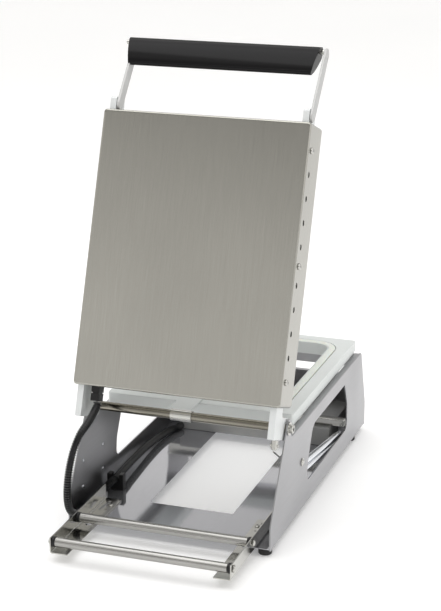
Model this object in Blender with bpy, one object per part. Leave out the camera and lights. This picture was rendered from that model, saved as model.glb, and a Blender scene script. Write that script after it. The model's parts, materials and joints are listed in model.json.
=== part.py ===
"""Manual tray sealer: two side plates, a tray mould, a heated lid on a rear shaft and a film cradle.

The lid stands open. Lengths are metres and +Z is up. The operator stands at -Y, so left is -X.
Every piece is drawn from the axis of the hinge shaft: y runs to the back and z up. Pieces of the
lid are drawn with the lid closed and turn open with their parent, the empty lid_axis.
"""
import math

import bmesh
import bpy
from mathutils import Vector

# Driving dimensions.
HINGE_HEIGHT = 0.1334            # hinge axis above the table
HINGE_BACK = 0.1086              # hinge axis behind the middle of the footprint
LID_ANGLE = math.radians(70)     # how far the lid stands open
GAP = 0.0003                     # clearance between two pieces that touch
HALF_WIDTH = 0.125               # outer face of a side plate
SHEET = 0.0015                   # side plates and brackets
ROUND = 20                       # sides of a turned piece

# Frame.
INNER = HALF_WIDTH - SHEET       # inner face of a side plate
BETWEEN = INNER - GAP            # half length of what fits between the plates
FRAME_BOTTOM = -0.1254
FRAME_FRONT = -0.3586
FRAME_BACK = 0.067
LEDGE_TOP = -0.0148
LEDGE_EDGE = 0.1174              # inner edge of the ledge that is bent in from a side plate
FLANGE_EDGE = 0.105              # inner edge of the foot flange of a side plate
BASE_TOP = -0.1228
BASE_SHEET = 0.0008
FOOT_X = 0.115
FOOT_Y = (0.055, -0.315)
FOOT_RADIUS = 0.008

# Hinge and film cradle.
SHAFT_RADIUS = 0.0055
BOLT_RADIUS = 0.003
BRACKET_EDGE = 0.0870            # inner edge of a bracket's flange
BRACKET_LEG = 0.1085             # outer face of a bracket's leg
BRACKET_FRONT = -0.005
BRACKET_BACK = 0.1575
BRACKET_TOP = -0.1035
ROLLER_Y = {"front": 0.081, "rear": 0.1513}
ROLLER_Z = -0.110
ROLLER_RADIUS = 0.0056
ROLLER_END = 0.103
AXLE_RADIUS = 0.003

# Controls on the front panel.
PANEL_FACE = -0.3580             # outer face of the upright part of the front panel
PANEL_SHEET = 0.0012
CONTROL_Z = -0.1095
KNOB_X = 0.062
KNOB_FRONT = -BRACKET_BACK - 2 * HINGE_BACK
SWITCH_X = -0.055
LAMP_X = 0.004
GLAND_X = -0.092
ROCKER_TILT = math.radians(8)
BOX_REAR = -0.255
BOX_HALF = 0.1039
BOX_TOP = -0.0965

# Tray mould.
MOULD_TOP = 0.0015
MOULD_UNDER = LEDGE_TOP + GAP
MOULD_HALF = 0.118
MOULD_FRONT = -0.331
MOULD_BACK = -0.042
TRAY_HALF = 0.091                # half width of the opening that takes the tray
TRAY_FRONT = -0.304
TRAY_BACK = -0.067
TRAY_CORNER = 0.020
SEAL_WIDTH = 0.010

# Lid, drawn closed.
COVER_HALF = 0.1265
COVER_FRONT = 0.3481             # distance in front of the hinge axis
COVER_BACK = 0.0234
COVER_TOP = 0.0529
COVER_EDGE = 0.0047
COVER_SHEET = 0.001
ARM_INSIDE = 0.114
ARM_OUTSIDE = 0.1216
ARM_FRONT = 0.364
ARM_TOP = 0.0475
ARM_UNDER = 0.0215
ARM_HEEL = 0.0135
SCREW_AT = (0.0526, 0.1848, 0.3170)
SCREW_W = 0.0395
VENT_PITCH = 0.0276
VENT_FIRST = 0.0219
STUD_X = -0.118
STUD_W = 0.0278
PIN_BACK = 0.0202
HANDLE_FOOT = (0.356, 0.041)
HANDLE_TOP = (0.433, 0.0115)
HANDLE_BAR = 0.003
ROD_AT = (0.4355, 0.0115)
ROD_END = 0.1235
GRIP_HALF = 0.1188               # half length of the grip at its top
GRIP_FOOT = 0.1120               # half length at its foot

# Counterbalance.
SPRING_X = -0.115
SPRING_RADIUS = 0.00425
SPRING_BACK = -0.082
SPRING_FRONT = -0.272
SPRING_SLOPE = math.atan(0.148)
SPRING_PITCH = 0.009
SPRING_MID_Z = -0.0976
GUIDE = (-0.057, -0.0638)        # y and z of the cable guide
GUIDE_GROOVE = 0.0066

# Conduit.
CONDUIT_RADIUS = 0.0048
CONDUIT_LIFT = 0.0095            # how high the clip carries the conduit off the base plate
CONDUIT_X = 0.1073               # where the conduit passes the clip
CLIP_HALF = 0.0106
CLIP_BACK = -0.0345
CLIP_FRONT = -0.0440
CLIP_TOP = -0.1025

RIVETS = ((-0.0366, -0.0647), (-0.0350, -0.0968), (0.0241, -0.0635), (0.0260, -0.0963))

# Finish name: base colour, metallic, roughness.
FINISHES = {
    "satin_steel": ((0.58, 0.58, 0.56), 1.0, 0.34),
    "bright_steel": ((0.72, 0.72, 0.70), 1.0, 0.14),
    "mirror_steel": ((0.70, 0.70, 0.71), 1.0, 0.06),
    "aluminium": ((0.74, 0.74, 0.72), 1.0, 0.38),
    "anodised": ((0.70, 0.75, 0.71), 0.4, 0.45),
    "grey_paint": ((0.16, 0.16, 0.16), 0.0, 0.55),
    "black_plastic": ((0.012, 0.012, 0.013), 0.0, 0.22),
    "black_rubber": ((0.015, 0.015, 0.015), 0.0, 0.75),
    "silicone": ((0.66, 0.60, 0.45), 0.0, 0.60),
    "insulation": ((0.62, 0.59, 0.53), 0.0, 0.90),
    "amber_lens": ((0.75, 0.22, 0.02), 0.0, 0.15),
}


def clear_scene():
    for thing in list(bpy.data.objects):
        bpy.data.objects.remove(thing, do_unlink=True)


def finish(name):
    """Principled material of a named finish, made once."""
    known = bpy.data.materials.get(name)
    if known:
        return known
    colour, metallic, roughness = FINISHES[name]
    made = bpy.data.materials.new(name)
    made.use_nodes = True
    shader = made.node_tree.nodes["Principled BSDF"]
    shader.inputs["Base Color"].default_value = (*colour, 1.0)
    shader.inputs["Metallic"].default_value = metallic
    shader.inputs["Roughness"].default_value = roughness
    return made


def axis_empty(name, parent=None, location=(0, 0, 0), turn=0.0):
    """Empty on a joint axis that runs along X."""
    empty = bpy.data.objects.new(name, None)
    bpy.context.collection.objects.link(empty)
    empty.parent = parent
    empty.location = location
    empty.rotation_euler = (turn, 0, 0)
    return empty


def place(axis, along, a, b):
    """Point from a distance along an axis and its two other coordinates in X, Y, Z order."""
    return {"X": (along, a, b), "Y": (a, along, b), "Z": (a, b, along)}[axis]


def skin(bm, loops, ring):
    """Add one closed body to bm: equal loops joined in turn, capped or closed into a ring."""
    rows = [[bm.verts.new(point) for point in loop] for loop in loops]
    pairs = list(zip(rows, rows[1:]))
    if ring:
        pairs.append((rows[-1], rows[0]))
    else:
        bm.faces.new(rows[0])
        bm.faces.new(rows[-1])
    for low, high in pairs:
        for i in range(len(low)):
            j = (i + 1) % len(low)
            bm.faces.new((low[i], low[j], high[j], high[i]))


def add_mesh(name, bodies, material, parent, ring=False, location=(0, 0, 0)):
    """Object from one or more lists of loops."""
    bm = bmesh.new()
    for loops in bodies:
        skin(bm, loops, ring)
    bmesh.ops.recalc_face_normals(bm, faces=bm.faces)
    mesh = bpy.data.meshes.new(name)
    bm.to_mesh(mesh)
    bm.free()
    mesh.shade_smooth()
    mesh.set_sharp_from_angle(angle=math.radians(35))
    mesh.materials.append(finish(material))
    made = bpy.data.objects.new(name, mesh)
    bpy.context.collection.objects.link(made)
    made.parent = parent
    made.location = location
    return made


def rounded(corners, steps=4):
    """Outline through corners (a, b, radius), each corner turned by an arc of its radius."""
    outline = []
    for i, (a, b, radius) in enumerate(corners):
        here = Vector((a, b))
        if radius == 0:
            outline.append(here)
            continue
        back = (Vector(corners[i - 1][:2]) - here).normalized()
        ahead = (Vector(corners[(i + 1) % len(corners)][:2]) - here).normalized()
        half = back.angle(ahead) / 2
        centre = here + (back + ahead).normalized() * radius / math.sin(half)
        start = here + back * radius / math.tan(half) - centre
        sweep = math.pi - 2 * half
        if back.x * ahead.y - back.y * ahead.x > 0:
            sweep = -sweep
        for k in range(steps + 1):
            turn = sweep * k / steps
            c, s = math.cos(turn), math.sin(turn)
            outline.append(centre + Vector((start.x * c - start.y * s, start.x * s + start.y * c)))
    return outline


def sharp(corners):
    """Outline with plain corners."""
    return [Vector(corner) for corner in corners]


def rectangle(a0, a1, b0, b1):
    return sharp([(a0, b0), (a1, b0), (a1, b1), (a0, b1)])


def tapered_slot(a, radius_a, b, radius_b, steps=8):
    """Outline round two circles and the lines that touch both."""
    a, b = Vector(a), Vector(b)
    run = b - a
    heading = math.atan2(run.y, run.x)
    lean = math.acos((radius_a - radius_b) / run.length)
    outline = []
    for centre, radius, start, sweep in (
        (b, radius_b, heading - lean, 2 * lean),
        (a, radius_a, heading + lean, 2 * (math.pi - lean)),
    ):
        for k in range(steps + 1):
            turn = start + sweep * k / steps
            outline.append(centre + radius * Vector((math.cos(turn), math.sin(turn))))
    return outline


def prism(name, axis, outline, low, high, material, parent):
    """Outline swept from low to high along an axis."""
    loops = [[place(axis, along, *point) for point in outline] for along in (low, high)]
    return add_mesh(name, [loops], material, parent)


def block(name, x, y, z, material, parent, edge=0.0):
    """Box from (low, high) pairs, with its edges broken by a bevel of width edge."""
    made = prism(name, "Z", rectangle(*x, *y), *z, material, parent)
    if edge:
        bevel = made.modifiers.new("broken_edges", "BEVEL")
        bevel.width = edge
        bevel.segments = 2
    return made


def frame_loop(half_x, y_front, y_back, corner, z):
    """Loop of points round a rectangle with round corners, at height z."""
    outline = rounded([
        (-half_x, y_front, corner),
        (half_x, y_front, corner),
        (half_x, y_back, corner),
        (-half_x, y_back, corner),
    ])
    return [(point.x, point.y, z) for point in outline]


def circle(axis, along, radius, centre=(0, 0), sides=ROUND):
    loop = []
    for k in range(sides):
        turn = 2 * math.pi * k / sides
        a = centre[0] + radius * math.cos(turn)
        b = centre[1] + radius * math.sin(turn)
        loop.append(place(axis, along, a, b))
    return loop


def turned(name, axis, profile, centre, material, parent, ring=False, sides=ROUND):
    """Turned piece with its origin on its own axis; profile is (distance along, radius)."""
    loops = [circle(axis, along, radius, sides=sides) for along, radius in profile]
    return add_mesh(name, [loops], material, parent, ring, place(axis, 0.0, *centre))


def pins(name, axis, centres, radius, low, high, parent, sides=12):
    """Several equal cylinders in one object, used to drill holes or to add stems."""
    bodies = []
    for centre in centres:
        bodies.append([circle(axis, along, radius, centre, sides) for along in (low, high)])
    return add_mesh(name, bodies, "bright_steel", parent)


def combine(target, tool, operation):
    """Boolean that keeps the tool as a hidden guide."""
    step = target.modifiers.new(tool.name, "BOOLEAN")
    step.operation = operation
    step.solver = "EXACT"
    step.object = tool
    tool.hide_render = True
    tool.display_type = "WIRE"


def cut(target, tool):
    combine(target, tool, "DIFFERENCE")


def fuse(target, tool):
    combine(target, tool, "UNION")


def smooth_route(route, spacing):
    """Evenly spaced points on a Catmull-Rom curve through the route's points."""
    knots = [Vector(point) for point in route]
    knots = [2 * knots[0] - knots[1], *knots, 2 * knots[-1] - knots[-2]]
    fine = []
    for p0, p1, p2, p3 in zip(knots, knots[1:], knots[2:], knots[3:]):
        for k in range(16):
            t = k / 16
            fine.append(0.5 * (
                2 * p1 + (p2 - p0) * t + (2 * p0 - 5 * p1 + 4 * p2 - p3) * t ** 2
                + (3 * p1 - p0 - 3 * p2 + p3) * t ** 3
            ))
    fine.append(knots[-2])
    length = sum((b - a).length for a, b in zip(fine, fine[1:]))
    count = max(2, round(length / spacing))
    step = length / count
    points = [fine[0]]
    walked = 0.0
    for a, b in zip(fine, fine[1:]):
        span = (b - a).length
        while len(points) < count and walked + span >= step * len(points):
            points.append(a.lerp(b, (step * len(points) - walked) / span))
        walked += span
    points.append(fine[-1])
    return points


def tube(name, route, radius, spacing, material, parent):
    """Round flexible run along a route of points."""
    points = smooth_route(route, spacing)
    curve = bpy.data.curves.new(name, "CURVE")
    curve.dimensions = "3D"
    curve.bevel_depth = radius
    curve.bevel_resolution = 2
    curve.use_fill_caps = True
    spline = curve.splines.new("POLY")
    spline.points.add(len(points) - 1)
    for knot, point in zip(spline.points, points):
        knot.co = (*point, 1.0)
    curve.materials.append(finish(material))
    made = bpy.data.objects.new(name, curve)
    bpy.context.collection.objects.link(made)
    made.parent = parent
    return made


def side_plate(name, side, frame):
    """Bent sheet: upright plate with a hinge ear, a ledge under the mould and a foot flange."""
    outline = rounded([
        (FRAME_FRONT, FRAME_BOTTOM, 0),
        (FRAME_BACK, FRAME_BOTTOM, 0),
        (FRAME_BACK, -0.0955, 0.004),
        (0.0017, 0.0105, 0.0075),
        (-0.0110, 0.0105, 0.0078),
        (-0.0110, LEDGE_TOP, 0.004),
        (-0.3335, LEDGE_TOP, 0.007),
        (FRAME_FRONT, -0.0937, 0.004),
    ])
    inside, outside = sorted((side * INNER, side * HALF_WIDTH))
    plate = prism(name, "X", outline, inside, outside, "satin_steel", frame)
    middle = side * (INNER + HALF_WIDTH) / 2
    ledge = block(name + "_ledge", sorted((side * LEDGE_EDGE, middle)), (-0.327, -0.025),
                  (LEDGE_TOP - SHEET, LEDGE_TOP), "satin_steel", frame)
    flange = block(name + "_flange", sorted((side * FLANGE_EDGE, middle)), (-0.356, 0.062),
                   (FRAME_BOTTOM, FRAME_BOTTOM + SHEET), "satin_steel", frame)
    fuse(plate, ledge)
    fuse(plate, flange)
    window = rounded([
        (-0.2506, -0.0325, 0.003),
        (-0.1035, -0.0325, 0.020),
        (-0.0820, -0.0730, 0.030),
        (-0.0790, -0.0979, 0.009),
        (-0.2660, -0.0979, 0.011),
        (-0.2650, -0.0640, 0.030),
    ])
    reach = sorted((side * 0.120, side * 0.130))
    cut(plate, prism(name + "_window", "X", window, *reach, "satin_steel", frame))
    cut(plate, pins(name + "_shaft_hole", "X", [(0, 0)], BOLT_RADIUS + GAP, *reach, frame))
    return plate


def base_plate(frame):
    sheet = block("base_plate", (-BETWEEN, BETWEEN), (-0.356, FRAME_BACK),
                  (BASE_TOP - BASE_SHEET, BASE_TOP), "mirror_steel", frame)
    opening = [frame_loop(0.053, -0.257, -0.013, 0.002, z) for z in (-0.13, -0.12)]
    cut(sheet, add_mesh("base_opening", [opening], "mirror_steel", frame))


def feet(frame):
    under = FRAME_BOTTOM - GAP
    profile = [(-HINGE_HEIGHT, FOOT_RADIUS - 0.001), (-HINGE_HEIGHT + 0.001, FOOT_RADIUS),
               (under, FOOT_RADIUS)]
    for side, x_name in ((-1, "left"), (1, "right")):
        for y, y_name in zip(FOOT_Y, ("rear", "front")):
            turned(f"foot_{y_name}_{x_name}", "Z", profile, (side * FOOT_X, y),
                   "black_rubber", frame)


def cross_members(frame):
    """Rail over the control box, and the bar that the front of the mould rests on."""
    block("cross_rail", (-BETWEEN, BETWEEN), (BOX_REAR - 0.010, BOX_REAR),
          (BOX_TOP + GAP, -0.0835), "satin_steel", frame, edge=0.0008)
    shoulder = LEDGE_TOP - SHEET - GAP
    narrow = LEDGE_EDGE - GAP
    outline = sharp([
        (-BETWEEN, -0.028), (BETWEEN, -0.028), (BETWEEN, shoulder), (narrow, shoulder),
        (narrow, LEDGE_TOP), (-narrow, LEDGE_TOP), (-narrow, shoulder), (-BETWEEN, shoulder),
    ])
    prism("mould_rest", "Y", outline, -0.326, -0.310, "satin_steel", frame)


def control_housing(frame):
    """Low sheet box behind the front panel, open at its front and underneath."""
    wall = PANEL_SHEET
    shell = block("control_box", (-BOX_HALF, BOX_HALF), (PANEL_FACE + wall + GAP, BOX_REAR),
                  (BASE_TOP + GAP, BOX_TOP), "grey_paint", frame)
    inner = BOX_HALF - wall
    cut(shell, block("control_box_inside", (-inner, inner), (PANEL_FACE, BOX_REAR - wall),
                     (BASE_TOP - wall, BOX_TOP - wall), "grey_paint", frame))


def front_panel(frame):
    """Folded sheet that closes the front and leans back with the side plates."""
    inner_face = PANEL_FACE + PANEL_SHEET
    outline = rounded([
        (PANEL_FACE, FRAME_BOTTOM, 0),
        (PANEL_FACE, -0.0940, 0.003),
        (-0.3440, -0.0495, 0.003),
        (-0.3360, -0.0495, 0),
        (-0.3360, -0.0495 - PANEL_SHEET, 0),
        (-0.3431, -0.0495 - PANEL_SHEET, 0.0018),
        (inner_face, -0.0942, 0.0018),
        (inner_face, FRAME_BOTTOM, 0),
    ])
    panel = prism("front_panel", "X", outline, -BETWEEN, BETWEEN, "satin_steel", frame)
    through = (PANEL_FACE - 0.002, inner_face + 0.002)
    for name, x, radius in (("knob", KNOB_X, 0.0033), ("lamp", LAMP_X, 0.0041),
                            ("gland", GLAND_X, 0.0061)):
        cut(panel, pins(name + "_hole", "Y", [(x, CONTROL_Z)], radius, *through, frame))
    cut(panel, block("switch_hole", (SWITCH_X - 0.0138, SWITCH_X + 0.0138), through,
                     (CONTROL_Z - 0.0098, CONTROL_Z + 0.0098), "satin_steel", frame))


def thermostat(frame):
    """Knob with its spindle, and the regulator that the spindle turns."""
    face = PANEL_FACE - GAP
    behind = PANEL_FACE + PANEL_SHEET + GAP
    spindle_end = behind + 0.0070
    turned("thermostat_knob", "Y", [
        (KNOB_FRONT, 0.0095), (KNOB_FRONT + 0.0012, 0.0108), (face - 0.0042, 0.0118),
        (face - 0.0040, 0.0135), (face, 0.0135), (face, BOLT_RADIUS), (spindle_end, BOLT_RADIUS),
    ], (KNOB_X, CONTROL_Z), "black_plastic", frame)
    turned("thermostat_body", "Y", [
        (spindle_end + GAP, BOLT_RADIUS + GAP), (behind, BOLT_RADIUS + GAP), (behind, 0.006),
        (behind + 0.004, 0.006), (behind + 0.004, 0.011), (behind + 0.028, 0.011),
    ], (KNOB_X, CONTROL_Z), "grey_paint", frame)


def power_switch(frame):
    """Switch housing with a bezel, and the rocker that tips in its recess."""
    face = PANEL_FACE - GAP
    housing = block("power_switch_body", (SWITCH_X - 0.0135, SWITCH_X + 0.0135),
                    (face - 0.001, -0.334), (CONTROL_Z - 0.0095, CONTROL_Z + 0.0095),
                    "black_plastic", frame)
    fuse(housing, block("switch_bezel", (SWITCH_X - 0.0155, SWITCH_X + 0.0155),
                        (face - 0.002, face), (CONTROL_Z - 0.0115, CONTROL_Z + 0.0115),
                        "black_plastic", frame))
    cut(housing, block("switch_recess", (SWITCH_X - 0.0118, SWITCH_X + 0.0118),
                       (face - 0.004, -0.3500), (CONTROL_Z - 0.0084, CONTROL_Z + 0.0084),
                       "black_plastic", frame))
    outline = sharp([
        (0.0025, -0.0066), (-0.0058, -0.0070), (-0.0040, 0), (-0.0058, 0.0070), (0.0025, 0.0066),
    ])
    rocker = prism("power_switch_rocker", "X", outline, -0.0114, 0.0114, "black_plastic", frame)
    rocker.location = (SWITCH_X, PANEL_FACE + 0.0015, CONTROL_Z)
    rocker.rotation_euler = (ROCKER_TILT, 0, 0)


def panel_fittings(frame):
    """Pilot lamp and the gland that the mains lead would enter by."""
    face = PANEL_FACE - GAP
    turned("indicator_lamp", "Y", [
        (face - 0.0052, 0.0015), (face - 0.0048, 0.0031), (face - 0.0034, 0.0042),
        (face - 0.0018, 0.0045), (face - 0.0017, 0.0055), (face, 0.0055), (face, 0.0038),
        (-0.346, 0.0038),
    ], (LAMP_X, CONTROL_Z), "amber_lens", frame)
    turned("mains_gland", "Y", [
        (face - 0.0010, 0.0035), (face - 0.0120, 0.0035), (face - 0.0120, 0.0048),
        (face - 0.0100, 0.0062), (face - 0.0045, 0.0074), (face - 0.0043, 0.0085),
        (face, 0.0085), (face, 0.0058), (-0.349, 0.0058),
    ], (GLAND_X, CONTROL_Z), "black_plastic", frame)


def hinge(frame):
    """Shaft between the side plates, held by a flanged bolt through each ear."""
    bore = BOLT_RADIUS + GAP
    depth = BETWEEN - 0.012
    turned("hinge_shaft", "X", [
        (-depth, bore), (-BETWEEN, bore), (-BETWEEN, SHAFT_RADIUS),
        (BETWEEN, SHAFT_RADIUS), (BETWEEN, bore), (depth, bore),
    ], (0, 0), "bright_steel", frame)
    under_head = HALF_WIDTH + GAP
    for side, x_name in ((-1, "left"), (1, "right")):
        profile = [
            (BETWEEN - 0.011, BOLT_RADIUS), (under_head, BOLT_RADIUS), (under_head, 0.008),
            (under_head + 0.0012, 0.008), (under_head + 0.0013, 0.0052),
            (under_head + 0.0047, 0.0052), (under_head + 0.0057, 0.0042),
        ]
        turned(f"shaft_bolt_{x_name}", "X", [(side * x, r) for x, r in profile], (0, 0),
               "bright_steel", frame)


def cradle_bracket(name, side, frame):
    """Angle that carries the film rollers: a leg upright, a flange on the base plate."""
    under = BASE_TOP + GAP
    leg_inside = BRACKET_LEG - SHEET
    outline = rounded([
        (side * BRACKET_EDGE, under, 0),
        (side * BRACKET_LEG, under, 0.003),
        (side * BRACKET_LEG, BRACKET_TOP, 0),
        (side * leg_inside, BRACKET_TOP, 0),
        (side * leg_inside, under + SHEET, 0.0015),
        (side * BRACKET_EDGE, under + SHEET, 0),
    ])
    angle = prism(name, "Y", outline, BRACKET_FRONT, BRACKET_BACK, "bright_steel", frame)
    axles = [(y, ROLLER_Z) for y in ROLLER_Y.values()]
    cut(angle, pins(name + "_axle_holes", "X", axles, AXLE_RADIUS + GAP,
                    *sorted((side * 0.104, side * 0.111)), frame))
    floor = (under - 0.002, under + 0.004)
    cut(angle, pins(name + "_round_hole", "Z", [(side * 0.0974, 0.0724)], 0.004, *floor, frame))
    cut(angle, pins(name + "_small_hole", "Z", [(side * 0.0942, 0.0276)], 0.0015, *floor, frame))
    keyhole = tapered_slot((side * 0.0976, 0.0060), 0.0030, (side * 0.1010, 0.0290), 0.0018, 5)
    cut(angle, prism(name + "_keyhole", "Z", keyhole, *floor, "bright_steel", frame))


def film_roller(where, y, frame):
    """Steel roller on a fixed axle with domed ends, and a plastic cap at each bracket."""
    bore = AXLE_RADIUS + GAP
    turned(f"film_roller_{where}", "X", [
        (-ROLLER_END, bore), (-ROLLER_END, ROLLER_RADIUS), (ROLLER_END, ROLLER_RADIUS),
        (ROLLER_END, bore),
    ], (y, ROLLER_Z), "bright_steel", frame, ring=True)
    nut = BRACKET_LEG + GAP
    dome = [(nut + 0.0031, 0.0012), (nut + 0.0025, 0.0030), (nut + 0.0014, 0.0041),
            (nut, 0.0045), (nut, AXLE_RADIUS)]
    profile = [(-x, r) for x, r in dome] + list(reversed(dome))
    turned(f"roller_axle_{where}", "X", profile, (y, ROLLER_Z), "bright_steel", frame)
    inner, outer = ROLLER_END + GAP, BRACKET_LEG - SHEET - GAP
    for side, x_name in ((-1, "left"), (1, "right")):
        turned(f"roller_cap_{where}_{x_name}", "X", [
            (side * inner, bore), (side * inner, 0.0061), (side * outer, 0.0061),
            (side * outer, bore),
        ], (y, ROLLER_Z), "black_plastic", frame, ring=True)


def conduit(frame):
    """Flexible conduit from the lid's gland to the control box, with the clip that holds it."""
    low = BASE_TOP + GAP + CONDUIT_RADIUS
    held = low + CONDUIT_LIFT
    block("conduit_clip", (CONDUIT_X - CLIP_HALF, CONDUIT_X + CLIP_HALF),
          (CLIP_FRONT, CLIP_BACK), (BASE_TOP + GAP, CLIP_TOP), "black_plastic", frame,
          edge=0.0012)
    tube("conduit_loop", [
        (0.1000, 0.0312, 0.0164), (0.1001, 0.0334, 0.0112), (0.1030, 0.0510, -0.0010),
        (0.1085, 0.0680, -0.0140), (0.1130, 0.0785, -0.0340), (0.1160, 0.0850, -0.0600),
        (0.1170, 0.0862, -0.0850), (0.1170, 0.0795, -0.1030), (0.1165, 0.0640, -0.1145),
        (0.1158, 0.0450, low + 0.0002), (0.1150, 0.0270, low), (0.1147, 0.0110, low + 0.0003),
        (0.1143, -0.0020, low + 0.0014), (0.1123, -0.0140, low + 0.0044),
        (0.1090, -0.0250, low + 0.0080), (CONDUIT_X, CLIP_BACK + 6 * GAP, held),
    ], CONDUIT_RADIUS, 0.0075, "black_plastic", frame)
    tube("conduit_run", [
        (CONDUIT_X, CLIP_FRONT - 4 * GAP, held), (0.1088, -0.0715, low + 0.0092),
        (0.1102, -0.0913, low + 0.0083), (0.1119, -0.1300, low + 0.0066),
        (0.1128, -0.1674, low + 0.0046), (0.1117, -0.2009, low + 0.0025),
        (0.1080, -0.2290, low + 0.0008), (0.1030, -0.2430, low),
        (0.1012, BOX_REAR + 5 * GAP, low),
    ], CONDUIT_RADIUS, 0.020, "black_plastic", frame)


def counterbalance(frame):
    """Two long springs pull a cable that runs under a guide and up to the lid's stud."""
    middle_y = (SPRING_FRONT + SPRING_BACK) / 2
    half = (SPRING_BACK - SPRING_FRONT) / 2 / math.cos(SPRING_SLOPE)
    profile = [(-half, SPRING_RADIUS), (half, SPRING_RADIUS)]
    for order, where in ((1, "upper"), (-1, "lower")):
        spring = turned(f"counter_spring_{where}", "Y", profile, (0, 0), "bright_steel", frame)
        offset = order * SPRING_PITCH / 2
        spring.location = (SPRING_X, middle_y, SPRING_MID_Z + offset)
        spring.rotation_euler = (SPRING_SLOPE, 0, 0)
    angle = sharp([
        (-BETWEEN, -0.3000), (-BETWEEN + SHEET, -0.3000), (-BETWEEN + SHEET, -0.2875),
        (-0.1080, -0.2875), (-0.1080, -0.2860), (-BETWEEN, -0.2860),
    ])
    prism("spring_anchor", "Z", angle, -0.1215, -0.1010, "satin_steel", frame)
    head = HALF_WIDTH + GAP
    rim = 0.009
    turned("cable_guide", "X", [
        (-head - 0.0045, 0.0030), (-head - 0.0035, 0.0058), (-head, 0.0058), (-head, 0.0025),
        (-0.1210, 0.0025), (-0.1210, rim), (-0.1178, rim), (-0.1170, GUIDE_GROOVE),
        (-0.1130, GUIDE_GROOVE), (-0.1122, rim), (-0.1100, rim),
    ], GUIDE, "bright_steel", frame)
    lay = GUIDE_GROOVE + 0.0018
    wrap = []
    for degrees in (-108, -92, -76, -60):
        turn = math.radians(degrees)
        wrap.append((SPRING_X, GUIDE[0] + lay * math.cos(turn), GUIDE[1] + lay * math.sin(turn)))
    tube("pull_cable", [
        (SPRING_X, SPRING_BACK + 0.0020, -0.0820), *wrap, (-0.1160, -0.0180, -0.0497),
        (-0.1175, 0.0354, -0.0160),
    ], 0.001, 0.005, "bright_steel", frame)


def rating_plate(frame):
    """Blank plate riveted to the right side plate."""
    inside = HALF_WIDTH + GAP
    plate = block("rating_plate", (inside, inside + 0.0008), (-0.042, 0.032), (-0.103, -0.058),
                  "aluminium", frame)
    fuse(plate, pins("rivet_stems", "X", RIVETS, 0.0015, INNER - 0.001, inside + 0.0004, frame))


def tray_mould(axis):
    """Plate with the opening for the tray and a groove for its seal."""
    def level(inset, corner, z):
        return frame_loop(MOULD_HALF - inset, MOULD_FRONT + inset, MOULD_BACK - inset, corner, z)

    def around(grow, z):
        return frame_loop(TRAY_HALF + grow, TRAY_FRONT - grow, TRAY_BACK + grow,
                          TRAY_CORNER + grow, z)

    wall = 0.001
    groove = MOULD_TOP - 0.0027
    outer = wall + SEAL_WIDTH + 2 * GAP
    add_mesh("tray_mould", [[
        level(0.004, 0.003, MOULD_UNDER), level(0.004, 0.003, -0.0105),
        level(0, 0.006, -0.0105), level(0, 0.006, MOULD_TOP - 0.003),
        level(0.003, 0.004, MOULD_TOP), around(outer, MOULD_TOP), around(outer, groove),
        around(wall, groove), around(wall, MOULD_TOP), around(0, MOULD_TOP),
        around(0, MOULD_UNDER),
    ]], "anodised", axis, ring=True)
    inner = wall + GAP
    seal_top = MOULD_TOP + 0.0007
    add_mesh("mould_gasket", [[
        around(inner + SEAL_WIDTH, groove + GAP), around(inner + SEAL_WIDTH, MOULD_TOP),
        around(inner + SEAL_WIDTH - 0.001, seal_top), around(inner + 0.001, seal_top),
        around(inner, MOULD_TOP), around(inner, groove + GAP),
    ]], "silicone", axis, ring=True)


def mould_strap(axis):
    """Strip on the mould's rear edge, curled into a sleeve round the hinge shaft."""
    inner = SHAFT_RADIUS + GAP
    outer = 0.007
    turns = [math.radians(degrees) for degrees in range(-155, 170, 18)]
    outline = [Vector((outer * math.cos(turn), outer * math.sin(turn))) for turn in turns]
    outline += [Vector((inner * math.cos(turn), inner * math.sin(turn))) for turn in turns[::-1]]
    sleeve = prism("mould_strap", "X", outline, -0.007, 0.019, "satin_steel", axis)
    low = MOULD_TOP + GAP
    fuse(sleeve, block("mould_strap_tab", (-0.0005, 0.027), (-0.056, -0.0062),
                       (low, low + 0.0012), "satin_steel", axis))


def lid_loop(half_x, front, back, corner, w):
    """Frame loop in the closed lid, with distances forward of the hinge axis."""
    return frame_loop(half_x, -front, -back, corner, w)


def lid_cover(lid):
    """Shallow steel tray, upside down over the heater, slotted where the arms pass."""
    def outer(inset, w):
        return lid_loop(COVER_HALF - inset, COVER_FRONT - inset, COVER_BACK + inset,
                        0.004 - inset / 2, w)

    bend = 0.0016
    cover = add_mesh("lid_cover", [[
        outer(COVER_SHEET + bend, COVER_TOP - COVER_SHEET),
        outer(COVER_SHEET, COVER_TOP - COVER_SHEET - bend),
        outer(COVER_SHEET, COVER_EDGE),
        outer(0, COVER_EDGE),
        outer(0, COVER_TOP - bend),
        outer(bend, COVER_TOP),
    ]], "satin_steel", lid)
    for side, x_name in ((-1, "left"), (1, "right")):
        across = sorted((side * (ARM_INSIDE - 0.0006), side * (ARM_OUTSIDE + 0.0006)))
        cut(cover, block(f"arm_slot_{x_name}", across, (-0.36, 0), (0, ARM_TOP + 0.0008),
                         "satin_steel", lid))
    vents = []
    for k in range(4):
        for way in (-1, 1):
            vents.append((-SCREW_AT[1] + way * (VENT_FIRST + VENT_PITCH * k), 0.040))
    cut(cover, pins("vent_holes", "X", vents, 0.0034, -0.13, 0.13, lid))
    screws = [(-u, SCREW_W) for u in SCREW_AT]
    cut(cover, pins("cover_screw_holes", "X", screws, 0.0023, -0.13, 0.13, lid))


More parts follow.
